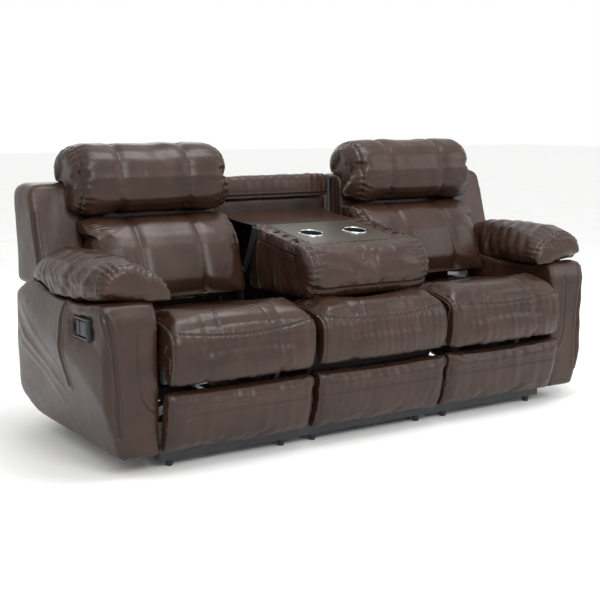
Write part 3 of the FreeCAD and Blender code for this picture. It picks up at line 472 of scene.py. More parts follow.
class Sewn(Enum):
    """How each sewn line is pressed in: width, depth and raised lip in metres, and how much painted shade
    darkens its groove.
    """

    HEAD_VALLEY = (0.02, 0.0045, 0.0, 0.0)
    BACK_LINE = (0.0035, 0.003, 0.0, 0.8)
    HEAD_END = (0.006, 0.004, 0.0, 0.6)
    LOWER_VALLEY = (0.018, 0.004, 0.0, 0.0)
    LOWER_END = (0.006, 0.004, 0.001, 0.55)
    WING_WELT = (0.005, 0.0035, 0.0018, 0.75)
    SHELL_WELT = (0.006, 0.0035, 0.002, 0.75)
    SHELL_REAR = (0.006, 0.003, 0.001, 0.75)
    BUCKET_VALLEY = (0.014, 0.004, 0.0, 0.0)
    BUCKET_LINE = (0.0038, 0.0025, 0.0, 0.7)
    CROWN_LINE = (0.0038, 0.0028, 0.0005, 0.6)
    SEAT_RAY = (0.0045, 0.0028, 0.0, 0.55)
    SEAT_EDGE = (0.004, 0.003, 0.0, 0.5)
    PAD_LINE = (0.0035, 0.0026, 0.0004, 0.6)
    PAD_EDGE = (0.004, 0.0025, 0.0, 0.5)
    ARM_WALL = (0.007, 0.006, 0.003, 0.75)
    ARM_CORNER = (0.007, 0.006, 0.0035, 0.75)
    ARM_FRONT = (0.0045, 0.003, 0.001, 0.4)
    PILLOW_FACE = (0.005, 0.004, 0.0005, 0.65)
    PILLOW_CROSS = (0.005, 0.002, 0.0, 0.35)
    CONSOLE_END = (0.006, 0.004, 0.001, 0.5)
    CONSOLE_LOW = (0.005, 0.0035, 0.001, 0.5)
    CONSOLE_SIDE = (0.005, 0.004, 0.001, 0.6)
    RAIL_LOW = (0.004, 0.003, 0.001, 0.5)
    COVER_LINE = (0.005, 0.0025, 0.0008, 0.4)


class Skin:
    """The points of one padded piece, while folds, seams and gathers are pressed into it."""

    def __init__(self, piece: Piece) -> None:
        """Read the piece's points and normals."""
        self.piece = piece
        # Painted shade for each point: how much the leather is darkened in seam grooves and fold valleys.
        self.hollow = np.zeros(len(piece.data.vertices))
        self.read()

    def read(self) -> None:
        """Read the points and normals again."""
        mesh = self.piece.data
        mesh.update()
        flat = np.empty(len(mesh.vertices) * 3)
        mesh.vertices.foreach_get("co", flat)
        self.points = flat.reshape(-1, 3).copy()
        mesh.vertex_normals.foreach_get("vector", flat)
        self.normals = flat.reshape(-1, 3).copy()
        self.stale = True

    @property
    def tree(self) -> BVHTree:
        """The surface for dropping points on, built when it is first asked for."""
        if self.stale:
            faces = [tuple(f.vertices) for f in self.piece.data.polygons]
            self.surface = BVHTree.FromPolygons(self.points.tolist(), faces)
            self.stale = False
        return self.surface

    def write(self) -> None:
        """Give the points back to the piece, with the attribute of painted shade that darkens its seams and
        folds.
        """
        mesh = self.piece.data
        mesh.vertices.foreach_set("co", self.points.ravel())
        shade = mesh.attributes.get("hollow") or mesh.attributes.new("hollow", "FLOAT", "POINT")
        shade.data.foreach_set("value", np.clip(self.hollow, 0, 1).astype(np.float32))
        mesh.update()
        self.read()

    def push(self, amount: np.ndarray) -> None:
        """Move each point along its normal by its own amount."""
        self.points += self.normals * amount[:, None]

    def lay(self, starts: Sequence[Point], toward: Point) -> np.ndarray:
        """Drop points on the surface.

        Args:
            starts: Points in front of the surface or inside it.
            toward: The direction that they drop in.

        Returns:
            The points that landed.
        """
        way = Vector(toward).normalized()
        landed = []
        for start in starts:
            hit = self.tree.ray_cast(Vector(start) - way * 2.0, way)[0]
            if hit is not None:
                landed.append(tuple(hit))
        return np.array(landed)

    def loop_across(self, x: float, centre: Pair, turns: Pair, count: int = 60) -> np.ndarray:
        """The surface's outline in an upright plane across X.

        Args:
            x: Where the plane is.
            centre: Y and Z of a point inside the piece.
            turns: First and last angle in degrees, 180 at the front and 90 on top.
            count: How many points.

        Returns:
            Points on the surface.
        """
        points = []
        for turn in np.radians(np.linspace(turns[0], turns[1], count)):
            out = Vector((0, math.cos(turn), math.sin(turn)))
            hit = self.tree.ray_cast(Vector((x, *centre)) + out * 2.0, -out)[0]
            if hit is not None:
                points.append(tuple(hit))
        return np.array(points)

    def seam(self, path: np.ndarray, sewn: Sewn) -> None:
        """Press a sewn channel along a path, with a raised lip on both sides where it has one."""
        width, depth, lip, dark = sewn.value
        away, _ = near_path(self.points, path)
        channel = -depth * np.exp(-(away / width) ** 2)
        self.push(channel + lip * np.exp(-((away - 2.2 * width) / width) ** 2))
        # Painted shade: darken the pressed channel.
        self.hollow = np.maximum(self.hollow, dark * np.exp(-(away / (0.75 * width)) ** 2))

    def gather(self, path: np.ndarray, reach: float, depth: float, spacing: float, seed: int) -> None:
        """Pucker the leather along a path: short folds across it that die out with distance."""
        away, along = near_path(self.points, path)
        drift = waves(self.points, 0.09, seed) * 1.6
        fold = np.sin(2 * math.pi * along / spacing + drift)
        fold = np.sign(fold) * np.abs(fold) ** 0.7
        level = 0.55 + 0.45 * waves(self.points, 0.06, seed + 1)
        falloff = np.exp(-away / reach) * fade(away, 0.0, 0.004)
        self.push(depth * fold * level * falloff)
        # Painted shade: darken the valleys of the folds.
        self.hollow = np.maximum(self.hollow, np.clip(-fold, 0, 1) * falloff * 0.45)

    def folds(
        self, size: float, depth: float, seed: int, stretch: Point, where: np.ndarray | None = None
    ) -> None:
        """Soft pulls in the leather, longer along the stretched axes."""
        wave = waves(self.points, size, seed, stretch)
        wave = np.sign(wave) * np.abs(wave) ** 1.3
        self.push(depth * wave * (1.0 if where is None else where))


@dataclass(frozen=True)
class Filling:
    """How a padded piece is stuffed."""

    voxel: float = 0.0085
    inset: float = 0.006
    pressure: float = 4.0
    slack: float = 0.02
    plump: float = 0.003
    cap: float = 0.008
    rounds: int = 6
    simulated: bool = True


def stuff(piece: Piece, filling: Filling, rests: Mask) -> None:
    """Turn a merged copy of a node into a soft, filled form.

    Args:
        piece: The copy, changed in place.
        filling: Mesh size, pressure, slack of the cover, and how far a point may move.
        rests: Says which points lie against something and stay where they are.
    """
    finish_modifier(piece, "REMESH", mode="VOXEL", voxel_size=filling.voxel, use_smooth_shade=True)
    finish_modifier(piece, "SMOOTH", factor=0.5, iterations=filling.rounds)
    skin = Skin(piece)
    low, high = skin.points.min(0), skin.points.max(0)
    held = rests(skin.points)
    start, outward = skin.points.copy(), skin.normals.copy()
    swell = np.zeros(len(start))
    if filling.simulated:
        skin.push(np.where(held, 0.0, -filling.inset))
        skin.write()
        group = piece.vertex_groups.new(name="rests")
        group.add([int(i) for i in np.flatnonzero(held)], 1.0, "REPLACE")
        cloth = piece.modifiers.new("filling", "CLOTH")
        cloth.settings.quality = 4
        cloth.settings.mass = 0.1
        cloth.settings.use_pressure = True
        cloth.settings.uniform_pressure_force = filling.pressure
        cloth.settings.shrink_min = -filling.slack
        cloth.settings.vertex_group_mass = group.name
        cloth.settings.tension_stiffness = 8
        cloth.settings.compression_stiffness = 8
        cloth.settings.bending_stiffness = 0.8
        cloth.settings.effector_weights.gravity = 0
        for step in range(1, SIMULATED_FRAMES + 1):
            bpy.context.scene.frame_set(step)
        puffed = piece.evaluated_get(bpy.context.evaluated_depsgraph_get()).to_mesh()
        flat = np.empty(len(puffed.vertices) * 3)
        puffed.vertices.foreach_get("co", flat)
        swell = ((flat.reshape(-1, 3) - start) * outward).sum(1)
        piece.modifiers.remove(cloth)
        bpy.context.scene.frame_set(1)
        swell -= swell[~held].mean()
    swell = np.where(held, 0.0, np.clip(swell + filling.plump, -filling.cap, filling.cap))
    skin.points = start + outward * swell[:, None]
    room = np.array([0.003, 0.006, 0.008])
    skin.points = np.clip(skin.points, low - room, high + room)
    skin.write()
    piece.vertex_groups.clear()
    finish_modifier(piece, "SUBSURF", levels=1, render_levels=1)


def add_block(name: str, centre: Point, size: Point) -> Piece:
    """Add a block whose place is in its mesh.

    Args:
        name: The object's name.
        centre: Its middle.
        size: Its length along X, Y and Z.

    Returns:
        The new object, active and alone selected.
    """
    deselect()
    bpy.ops.mesh.primitive_cube_add(size=1, location=centre)
    block = bpy.context.active_object
    block.name = name
    block.data.name = name
    block.scale = size
    bpy.ops.object.transform_apply(location=True, rotation=True, scale=True)
    return block


def pick_faces(piece: Piece, wanted: Callable[[Vector, Vector], bool]) -> None:
    """Select only the faces whose centre and normal pass a test."""
    choose(piece)
    with edit_mode():
        bpy.ops.mesh.select_mode(type="FACE")
        bpy.ops.mesh.select_all(action="DESELECT")
    for polygon in piece.data.polygons:
        polygon.select = bool(wanted(polygon.center, polygon.normal))


def tube(name: str, path: np.ndarray, radius: float) -> Piece:
    """A round welt or cord along a path, closed at both ends.

    Args:
        name: The object's name.
        path: The points that it follows.
        radius: Half its thickness.

    Returns:
        The new object, its place in its mesh.
    """
    curve = bpy.data.curves.new(name, "CURVE")
    curve.dimensions = "3D"
    curve.bevel_depth = radius
    curve.bevel_resolution = 2
    curve.use_fill_caps = True
    spline = curve.splines.new("POLY")
    spline.points.add(len(path) - 1)
    for point, place in zip(spline.points, path):
        point.co = (*place, 1.0)
    piece = bpy.data.objects.new(name, curve)
    bpy.context.scene.collection.objects.link(piece)
    choose(piece)
    bpy.ops.object.convert(target="MESH")
    smooth_shade(piece)
    return piece


class Stitching:
    """Rows of thread, each stitch a short rounded bar modelled once and laid again and again."""

    def __init__(self) -> None:
        """Model one stitch, a metre long before it is scaled."""
        deselect()
        bpy.ops.mesh.primitive_cylinder_add(vertices=6, radius=0.5, depth=1.0,
                                            rotation=(0, math.pi / 2, 0))
        model = bpy.context.active_object
        bpy.ops.object.transform_apply(location=False, rotation=True, scale=False)
        pick_faces(model, lambda c, n: abs(n.x) > 0.9)
        with edit_mode():
            bpy.ops.mesh.inset(thickness=0.2, depth=0.06)
        self.points = np.array([v.co for v in model.data.vertices])
        self.faces = [list(f.vertices) for f in model.data.polygons]
        bpy.data.objects.remove(model)

    def rows(self, name: str, skin: Skin, paths: Sequence[np.ndarray], pitch: float = 0.0075,
             size: float = 0.0013) -> Piece | None:
        """Lay stitches along paths on a skin.

        Args:
            name: The object's name.
            skin: The piece that they are sewn into.
            paths: One path for each row.
            pitch: The distance from one stitch to the next.
            size: The thread's thickness.

        Returns:
            One object with all the stitches, or None where no path is long enough.
        """
        points: list[np.ndarray] = []
        faces: list[list[int]] = []
        for path in paths:
            if len(path) < 2:
                continue
            spots = resample(path, pitch)
            for start, end in zip(spots, spots[1:]):
                hit, normal, _, _ = skin.tree.find_nearest(Vector((start + end) / 2))
                if hit is None:
                    continue
                way = Vector(end - start).normalized()
                across = normal.cross(way).normalized()
                turn = np.array([way, across, way.cross(across)])
                scaled = self.points * np.array([pitch * 0.72, size, size])
                base = sum(len(part) for part in points)
                points.append(scaled @ turn + np.array(hit + normal * size * 0.15))
                faces += [[base + i for i in f] for f in self.faces]
        if not points:
            return None
        return new_piece(name, np.concatenate(points), faces)


def offset_path(skin: Skin, path: np.ndarray, shift: float) -> np.ndarray:
    """A path beside another on a skin, at a distance to one side."""
    moved = []
    for start, end in zip(path, path[1:]):
        hit, normal, _, _ = skin.tree.find_nearest(Vector((start + end) / 2))
        across = normal.cross(Vector(end - start).normalized())
        spot = skin.tree.find_nearest(hit + across * shift)[0]
        moved.append(tuple(spot))
    return np.array(moved)


# Sub-assemblies


@dataclass
class Workshop:
    """What every sub-assembly needs: the frame's nodes, the finishes and the stitching."""

    nodes: dict[str, Piece]
    finishes: Finishes
    stitching: Stitching

    def keep(self, piece: Piece, finish: Leather | Coating, slot: str, body: str) -> Piece:
        """Give a piece its finish, and let it ride on a body."""
        self.finishes.put(piece, finish)
        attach(piece, body)
        LOG.info("piece %s rides on %s with %d faces", piece.name, body, len(piece.data.polygons))
        return piece

    def pad(self, node: str, body: str, skin: Skin, finish: Leather = LEATHER, fill: float = 0.6) -> None:
        """Let a padded piece stand for its node."""
        smooth_shade(skin.piece)
        self.keep(skin.piece, finish, "leather", body)
        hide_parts(node)

    def sew(self, name: str, body: str, skin: Skin, paths: Sequence[np.ndarray], gap: float = 0.0) -> None:
        """Sew thread along paths, on both sides of each where a gap is given."""
        rows = list(paths)
        if gap:
            rows = [offset_path(skin, path, shift) for path in paths for shift in (-gap, gap)]
        thread = self.stitching.rows(name, skin, rows)
        if thread:
            self.keep(thread, THREAD, "leather", body)

    def welt(self, name: str, body: str, path: np.ndarray, radius: float = 0.0035) -> None:
        """Lay a leather welt along a path."""
        self.keep(tube(name, resample(path, 0.008), radius), LEATHER, "leather", body)

    def forms(self, node: str, filling: Filling, rests: Mask) -> dict[Side, Skin]:
        """Stuff the right end's copy of a node, and mirror it for the left end."""
        right = copy_node("right_" + node + "_leather", self.nodes["right_" + node])
        stuff(right, filling, rests)
        left = mirror_copy(right, "left_" + node + "_leather")
        return {Side.LEFT: Skin(left), Side.RIGHT: Skin(right)}


@dataclass
class BackUnit:
    """A reclining back: shell, wing, lower cushion and headrest cushion."""

    shop: Workshop
    seam_head: float = 0.134
    seam_lower: float = 0.120
    head_ends: Pair = (0.318, 0.878)

    def build(self) -> None:
        """Build both ends."""
        self.headrests()
        self.lowers()
        self.wings()
        self.shells()

    def fit(self, side: Side, node: str, skin: Skin, thread: str, rows: Sequence[np.ndarray],
            gap: float, fill: float) -> None:
        """Let one piece ride on its back, with its double rows of thread."""
        body = side.prefix + "back"
        self.shop.pad(side.prefix + node, body, skin, fill=fill)
        self.shop.sew(side.prefix + thread, body, skin, rows, gap)

    def headrests(self) -> None:
        """The puffy upper cushions, with two upright seams and gathered ends."""
        forms = self.shop.forms("headrest_cushion", Filling(plump=0.009, cap=0.015, rounds=4),
                                lambda p: (p[:, 1] > 0.3) & (p[:, 2] < 0.88))
        for side, skin in forms.items():
            s = side.value
            centre = (0.24, 0.90)
            seams = [skin.loop_across(s * (0.5965 + k * self.seam_head), centre,
                                      (250, 60)) for k in (-1, 1)]
            ends = [skin.loop_across(s * x, centre, (262, 20)) for x in self.head_ends]
            x = s * skin.points[:, 0]
            for k, seam in zip((-1, 1), seams):
                skin.seam(seam, Sewn.HEAD_VALLEY)
                skin.seam(seam, Sewn.BACK_LINE)
            middle = np.exp(-((x - 0.5965) / 0.1) ** 2) * fade(skin.points[:, 2], 0.94, 1.02)
            skin.push(-0.004 * middle)
            skin.folds(size=0.12, depth=0.0016, seed=11 + s, stretch=(1.0, 1.0, 2.5))
            skin.write()
            for number, end in enumerate(ends):
                skin.seam(end, Sewn.HEAD_END)
                skin.gather(end, reach=0.026, depth=0.0036, spacing=0.026, seed=31 + 5 * number + s)
            skin.write()
            for number, seam in enumerate(seams):
                skin.gather(seam, reach=0.014, depth=0.0006, spacing=0.03, seed=61 + number + s)
            skin.write()
            self.fit(side, "headrest_cushion", skin, "headrest_thread", seams, 0.006, 0.8)

    def lowers(self) -> None:
        """The thick lower cushions."""
        forms = self.shop.forms("lower_back_cushion", Filling(plump=0.007, cap=0.013, rounds=4),
                                lambda p: (p[:, 1] > 0.205) & (p[:,
                                                                 1] > 0.05 + 0.35 * (p[:, 2] - 0.48)))
        for side, skin in forms.items():
            s = side.value
            centre = (0.19, 0.62)
            seams = [skin.loop_across(s * (0.586 + k * self.seam_lower), centre,
                                      (262, 110)) for k in (-1, 1)]
            ends = [skin.loop_across(s * 0.312, centre, (255, 100))]
            for seam in seams:
                skin.seam(seam, Sewn.LOWER_VALLEY)
                skin.seam(seam, Sewn.BACK_LINE)
            skin.folds(size=0.16, depth=0.002, seed=17 + s, stretch=(1.0, 1.0, 2.2))
            skin.write()
            for end in ends:
                skin.seam(end, Sewn.LOWER_END)
                skin.gather(end, reach=0.02, depth=0.0015, spacing=0.028, seed=41 + s)
            corner = skin.lay([(s * 0.84, -1.0, z) for z in (0.72, 0.735, 0.75, 0.762)], FROM_FRONT)
            if len(corner) > 1:
                skin.gather(corner, reach=0.02, depth=0.002, spacing=0.014, seed=47 + s)
            skin.write()
            self.fit(side, "lower_back_cushion", skin, "lower_back_thread", seams, 0.006, 0.8)

    def wings(self) -> None:
        """The slim wings beside the cushions, each with a double welt."""
        forms = self.shop.forms("back_wing", Filling(plump=0.001, rounds=8, simulated=False),
                                lambda p: p[:, 0] < 0.862)
        for side, skin in forms.items():
            s = side.value
            path = skin.lay([(s * 2, y, z) for y,
                             z in ((0.24, 0.872), (0.222, 0.80), (0.203, 0.74), (0.178, 0.66),
                                                        (0.155, 0.58))], (-s, 0, 0))
            skin.seam(path, Sewn.WING_WELT)
            skin.folds(size=0.14, depth=0.0015, seed=23 + s, stretch=(1.0, 1.0, 2.5))
            skin.write()
            self.fit(side, "back_wing", skin, "wing_thread", [path], 0.0065, 0.5)

    def shells(self) -> None:
        """The upholstered box behind the cushions, with welts on its rear corners."""
        forms = self.shop.forms("back_shell",
                                Filling(voxel=0.010, plump=0.0, rounds=4, simulated=False),
                                lambda p: (p[:, 0] > 0.85) | (p[:, 2] < 0.41))
        for side, skin in forms.items():
            s = side.value
            inner = skin.lay([(0.0, 0.30 + 0.02 * (z - 0.4), z) for z in np.linspace(0.44, 0.87, 12)],
                             (s, 0, 0))
            skin.seam(inner, Sewn.SHELL_WELT)
            rear = [skin.lay([(s * x, 2, z) for z in np.linspace(0.42, 0.87, 12)],
                             FROM_REAR) for x in (0.33, 0.81)]
            across = skin.lay([(s * x, 2, 0.60) for x in np.linspace(0.33, 0.81, 12)], FROM_REAR)
            for path in rear + [across]:
                skin.seam(path, Sewn.SHELL_REAR)
            skin.folds(size=0.18, depth=0.0012, seed=29 + s, stretch=(1.5, 1.0, 1.5))
            skin.write()
            rows = rear + [across, inner]
            self.fit(side, "back_shell", skin, "back_shell_thread", rows, 0.0065, 0.3)


@dataclass
class SeatUnit:
    """Seat cushions: a front roll with gathered crown, a sunk bucket and piped sides."""

    shop: Workshop

    def build(self) -> None:
        """Build the two end seats and the centre seat."""
        filling = Filling(plump=0.004, cap=0.010)
        forms = self.shop.forms("seat_cushion", filling, self.rests)
        for side, skin in forms.items():
            self.dress(skin, side.value * SEAT_CENTRE, side.prefix + "seat_cushion",
                       side.prefix + "seat", 3 + side.value)
        centre = copy_node("center_seat_cushion_leather", self.shop.nodes["center_seat_cushion"])
        stuff(centre, filling, self.rests)
        self.dress(Skin(centre), 0.0, "center_seat_cushion", "base", 9)

    @staticmethod
    def rests(points: np.ndarray) -> np.ndarray:
        """The underside and the rear end stay where they are."""
        return (points[:, 2] < 0.345) & (points[:, 1] > -0.405) | (points[:, 1] > 0.07)

    def crown(self, x: float) -> float:
        """The height of the seam along the front crown."""
        return 0.437 + 0.026 * (x / 0.28) ** 2

    def dress(self, skin: Skin, centre: float, node: str, body: str, seed: int) -> None:
        """Press the seams and folds of one seat and sew them.

        Args:
            skin: The stuffed seat.
            centre: X of its middle.
            node: The node that it stands for.
            body: The body that it rides on.
            seed: Which folds it gets.
        """
        u = skin.points[:, 0] - centre
        y, z = skin.points[:, 1], skin.points[:, 2]
        line = -0.368 + 1.75 * u**2
        top = fade(z, 0.42, 0.455)
        bucket = fade(y - line, 0.0,
                      0.05) * (1 - fade(y, 0.0, 0.075)) * top * (1 - fade(np.abs(u), 0.17, 0.275))
        skin.push(-0.017 * bucket)
        roll = np.exp(-((y - line + 0.045) / 0.04) ** 2) * top * (1 - fade(np.abs(u), 0.2, 0.28))
        skin.push(0.006 * roll)
        skin.write()
        across = np.linspace(-0.268, 0.268, 40)
        crown = skin.lay([(centre + v, -1, self.crown(v)) for v in across], FROM_FRONT)
        bucket_line = skin.lay([(centre + v, -0.368 + 1.75 * v**2, 1) for v in across], FROM_TOP)
        skin.seam(bucket_line, Sewn.BUCKET_VALLEY)
        skin.seam(bucket_line, Sewn.BUCKET_LINE)
        skin.seam(crown, Sewn.CROWN_LINE)
        rays = []
        for at, lean in ((-0.085, -0.01), (0.07, 0.035)):
            ahead = [(centre + at + lean * t, -0.368 - 0.085 * t, 1) for t in np.linspace(0, 0.9, 6)]
            behind = [(centre + at * 1.6 + 0.1 * at * t, -0.355 + 0.13 * t, 1) for t in np.linspace(0, 1, 6)]
            rays += [skin.lay(ahead, FROM_TOP), skin.lay(behind, FROM_TOP)]
        for ray in rays:
            if len(ray) > 1:
                skin.seam(ray, Sewn.SEAT_RAY)
        skin.write()
        skin.gather(crown, reach=0.016, depth=0.0016, spacing=0.017, seed=71 + seed)
        front = fade(-skin.points[:, 1], 0.43, 0.46)
        skin.folds(size=0.05, depth=0.0011, seed=81 + seed, stretch=(0.6, 1.0, 3.0), where=front)
        skin.folds(size=0.15, depth=0.002, seed=91 + seed, stretch=(1.4, 1.4, 1.0), where=top)
        skin.write()
        side_loops = [skin.loop_across(centre + v, (-0.2, 0.40), (240, 60), 70) for v in (-0.262,
                                                                                          0.262)]
        for loop in side_loops:
            skin.seam(loop, Sewn.SEAT_EDGE)
        skin.write()
        self.shop.pad(node, body, skin, fill=0.7)
        self.shop.sew(node + "_thread", body, skin, [crown, bucket_line], 0.0)
        welts = [skin.loop_across(centre + v, (-0.2, 0.40), (226, 110), 70) for v in (-0.2725, 0.2725)]
        for name, path in zip(("a", "b"), welts):
            self.shop.welt(node + "_welt_" + name, body, path, 0.0034)


@dataclass
class FootrestUnit:
    """Footrest pads and the fixed pad below the centre seat."""

    shop: Workshop
    seam_z: float = 0.193

    def build(self) -> None:
        """Build the two moving pads and the fixed one."""
        filling = Filling(plump=0.003, cap=0.007, rounds=4)
        for side, skin in self.shop.forms("footrest_pad", filling, self.rests).items():
            self.dress(skin, side.value * SEAT_CENTRE, side.prefix + "footrest_pad",
                       side.prefix + "footrest",
                       101 + side.value)
        centre = copy_node("center_front_panel_leather", self.shop.nodes["center_front_panel"])
        stuff(centre, filling, self.rests)
        self.dress(Skin(centre), 0.0, "center_front_panel", "base", 107)

    @staticmethod
    def rests(points: np.ndarray) -> np.ndarray:
        """The back of the pad lies on its board."""
        return points[:, 1] > -0.382 - (points[:, 2] - 0.065) * 0.206

    def dress(self, skin: Skin, centre: float, node: str, body: str, seed: int) -> None:
        """Press the seams and folds of one pad and sew them.

        Args:
            skin: The stuffed pad.
            centre: X of its middle.
            node: The node that it stands for.
            body: The body that it rides on.
            seed: Which folds it gets.
        """
        u = (skin.points[:, 0] - centre) / 0.28
        sag = (1 - u**2) * fade(skin.points[:, 2], 0.2, 0.265)
        skin.points[:, 2] -= 0.006 * sag
        skin.write()
        line = skin.lay([(centre + v, -1,
                          self.seam_z - 0.004 * (1 - (v / 0.28) ** 2)) for v in np.linspace(-0.27,
                                                                                            0.27, 40)],
                        FROM_FRONT)
        skin.seam(line, Sewn.PAD_LINE)
        skin.folds(size=0.07, depth=0.0011, seed=seed, stretch=(0.7, 1.0, 3.0))
        skin.folds(size=0.2, depth=0.0022, seed=seed + 3, stretch=(1.5, 1.0, 1.0))
        for v in (-0.268, 0.268):
            end = skin.loop_across(centre + v, (-0.40, 0.165), (250, 70), 40)
            skin.seam(end, Sewn.PAD_EDGE)
        skin.write()
        self.shop.pad(node, body, skin, fill=0.5)
        self.shop.sew(node + "_thread", body, skin, [line])
        for name, v in (("a", -0.2765), ("b", 0.2765)):
            path = skin.loop_across(centre + v, (-0.40, 0.165), (238, 95), 40)
            if len(path) > 2:
                self.shop.welt(node + "_welt_" + name, body, path, 0.0032)


@dataclass
class ArmUnit:
    """Arms: leather body with welts, pillow-top pad, and the recessed release handle."""

    shop: Workshop
    bezel: Point = (1.063, -0.253, 0.472)
    bezel_size: Pair = (0.118, 0.064)
    wall_line: tuple[Pair, ...] = (
        (-0.146, 0.535), (-0.135, 0.48), (-0.124, 0.40), (-0.126, 0.33), (-0.129, 0.265),
    )
    corner_line: tuple[Pair, ...] = (
        (1.033, 0.522), (1.026, 0.49), (1.016, 0.43), (1.008, 0.36), (1.004, 0.28),
        (1.004, 0.215), (1.000, 0.14),
    )
    front_line: tuple[Pair, ...] = (
        (0.929, 0.50), (0.929, 0.42), (0.929, 0.342), (0.926, 0.29), (0.916, 0.25),
        (0.895, 0.218), (0.866, 0.202),
    )

    def build(self) -> None:
        """Build both ends."""
        self.bodies()
        self.pads()
        self.handles()

    def bodies(self) -> None:
        """The arm's leather body."""
        forms = self.shop.forms("arm_body",
                                Filling(voxel=0.010, plump=0.002, rounds=10, simulated=False),
                                lambda p: (p[:, 0] < 0.865) | (p[:, 2] < 0.066)
                                | ((np.abs(p[:, 1] + 0.253) < 0.075) & (np.abs(p[:, 2] - 0.472) < 0.05)
                                   & (p[:, 0] > 1.02)))
        for side, skin in forms.items():
            s = side.value
            wall = skin.lay([(s * 2, y, z) for y, z in self.wall_line], (-s, 0, 0))
            corner = skin.lay([(s * x, -2, z) for x, z in self.corner_line], FROM_FRONT)
            front = skin.lay([(s * x, -2, z) for x, z in self.front_line], FROM_FRONT)
            skin.seam(wall, Sewn.ARM_WALL)
            skin.seam(corner, Sewn.ARM_CORNER)
            skin.seam(front, Sewn.ARM_FRONT)
            p = skin.points
            outer = fade(s * p[:, 0], 0.99, 1.03)
            slope = (p[:, 2] - 0.26) - 0.49 * (p[:, 1] + 0.02)
            for shift, depth in ((0.0, 0.0045), (0.075, 0.0022), (-0.06, 0.0025)):
                skin.push(depth * np.exp(-((slope - shift) / 0.016) ** 2) * outer * fade(p[:, 1], -0.1,
                                                                                         0.02)
                          * (1 - fade(p[:, 1], 0.25, 0.36)))
            skin.folds(size=0.17, depth=0.0028, seed=121 + s, stretch=(1.0, 1.6, 1.0), where=outer)
            skin.folds(size=0.13, depth=0.0016, seed=125 + s, stretch=(1.0, 1.0, 2.0), where=1 - outer)
            away = np.maximum(np.abs(p[:, 1] + 0.253) - 0.059, np.abs(p[:, 2] - 0.472) - 0.032)
            rim = fade(s * p[:, 0], 1.0, 1.03)
            angle = np.arctan2(p[:, 2] - 0.472, (p[:, 1] + 0.253) * 0.6)
            near = np.exp(-np.clip(away, 0, 1) / 0.018) * rim * fade(away, -0.004, 0.006)
            skin.push(-0.003 * near + 0.0022 * near * np.sin(9 * angle + 1.3))
            skin.write()
            self.shop.pad(side.prefix + "arm_body", "base", skin, fill=0.3)
            self.shop.sew(side.prefix + "arm_thread", "base", skin, [wall, corner], 0.0085)
            self.shop.sew(side.prefix + "arm_front_thread", "base", skin, [front])

    def pads(self) -> None:
        """The pillow-top pads, with a front end panel, pleats and a cross seam."""
        forms = self.shop.forms("arm_pad", Filling(voxel=0.008, plump=0.004, cap=0.010), self.on_arm)
        for side, skin in forms.items():
            s = side.value
            face = self.ring(skin, s, -0.352)
            cross = [self.ring(skin, s, y) for y in (0.02, 0.055)]
            skin.seam(face, Sewn.PILLOW_FACE)
            for path in cross:
                skin.seam(path, Sewn.PILLOW_CROSS)
            skin.write()
            skin.gather(face, reach=0.03, depth=0.003, spacing=0.024, seed=131 + s)
            skin.folds(size=0.09, depth=0.0028, seed=135 + s, stretch=(2.2, 0.7, 1.5),
                       where=fade(skin.points[:, 1], -0.33, -0.25))
            skin.write()
            self.shop.pad(side.prefix + "arm_pad", "base", skin, fill=0.8)
            self.shop.sew(side.prefix + "arm_pad_thread", "base", skin, [face], 0.006)

    @staticmethod
    def on_arm(points: np.ndarray) -> np.ndarray:
        """The pad's underside lies on the arm, except at its front end."""
        x, y, z = points.T
        return (z < 0.59) & (x > 0.87) & (x < 1.03) & (y > -0.33)

    @staticmethod
    def ring(skin: Skin, s: int, y: float) -> np.ndarray:
        """The pad's outline in an upright plane across Y, from its outer hem to its inner tip."""
        points = []
        for turn in np.radians(np.linspace(-20, 195, 50)):
            out = Vector((s * math.cos(turn), 0, math.sin(turn)))
            hit = skin.tree.ray_cast(Vector((s * 0.945, y, 0.60)) + out, -out)[0]
            if hit is not None:
                points.append(tuple(hit))
        return np.array(points)

    def handles(self) -> None:
        """Housings with rounded corners and a finger lip, and the paddles inside them."""
        for side in Side:
            s = side.value
            housing = self.housing(side.prefix + "handle_housing", s)
            self.shop.keep(housing, BLACK_ABS, "black_plastic", "base")
            if side is Side.RIGHT:
                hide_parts("lever_bezels")
            paddle = self.paddle(side.prefix + "release_paddle", s)
            self.shop.keep(paddle, BLACK_ABS, "black_plastic", side.prefix + "lever")
            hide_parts(side.prefix + "release_lever")

    def housing(self, name: str, s: int) -> Piece:
        """Shape one housing from a block: rim inset, pocket pushed in, edges rounded."""
        x, y, z = self.bezel
        length, height = self.bezel_size
        block = add_block(name, (s * (x - 0.0115), y, z), (0.027, length + 0.006, height + 0.006))
        pick_faces(block, lambda c, n: n.x * s > 0.9)
        with edit_mode():
            bpy.ops.mesh.inset(thickness=0.007)
            bpy.ops.mesh.extrude_region_move(TRANSFORM_OT_translate={"value": (-s * 0.0225, 0, 0)})
        finish_modifier(block, "BEVEL", width=0.0035, segments=3, limit_method="ANGLE")
        smooth_shade(block, 40)
        return block

    def paddle(self, name: str, s: int) -> Piece:
        """Shape one paddle: a plate with a raised finger lip."""
        x, y, z = self.bezel
        block = add_block(name, (s * (x - 0.0055), y - 0.014, z), (0.006, 0.066, 0.047))
        pick_faces(block, lambda c, n: n.x * s > 0.9)
        with edit_mode():
            bpy.ops.mesh.subdivide(number_cuts=3)
        pick_faces(block, lambda c, n: n.x * s > 0.9 and c.y > y + 0.0025)
        with edit_mode():
            bpy.ops.mesh.extrude_region_move(TRANSFORM_OT_translate={"value": (s * 0.003, 0, 0)})
        finish_modifier(block, "BEVEL", width=0.0015, segments=2, limit_method="ANGLE")
        smooth_shade(block, 40)
        return block


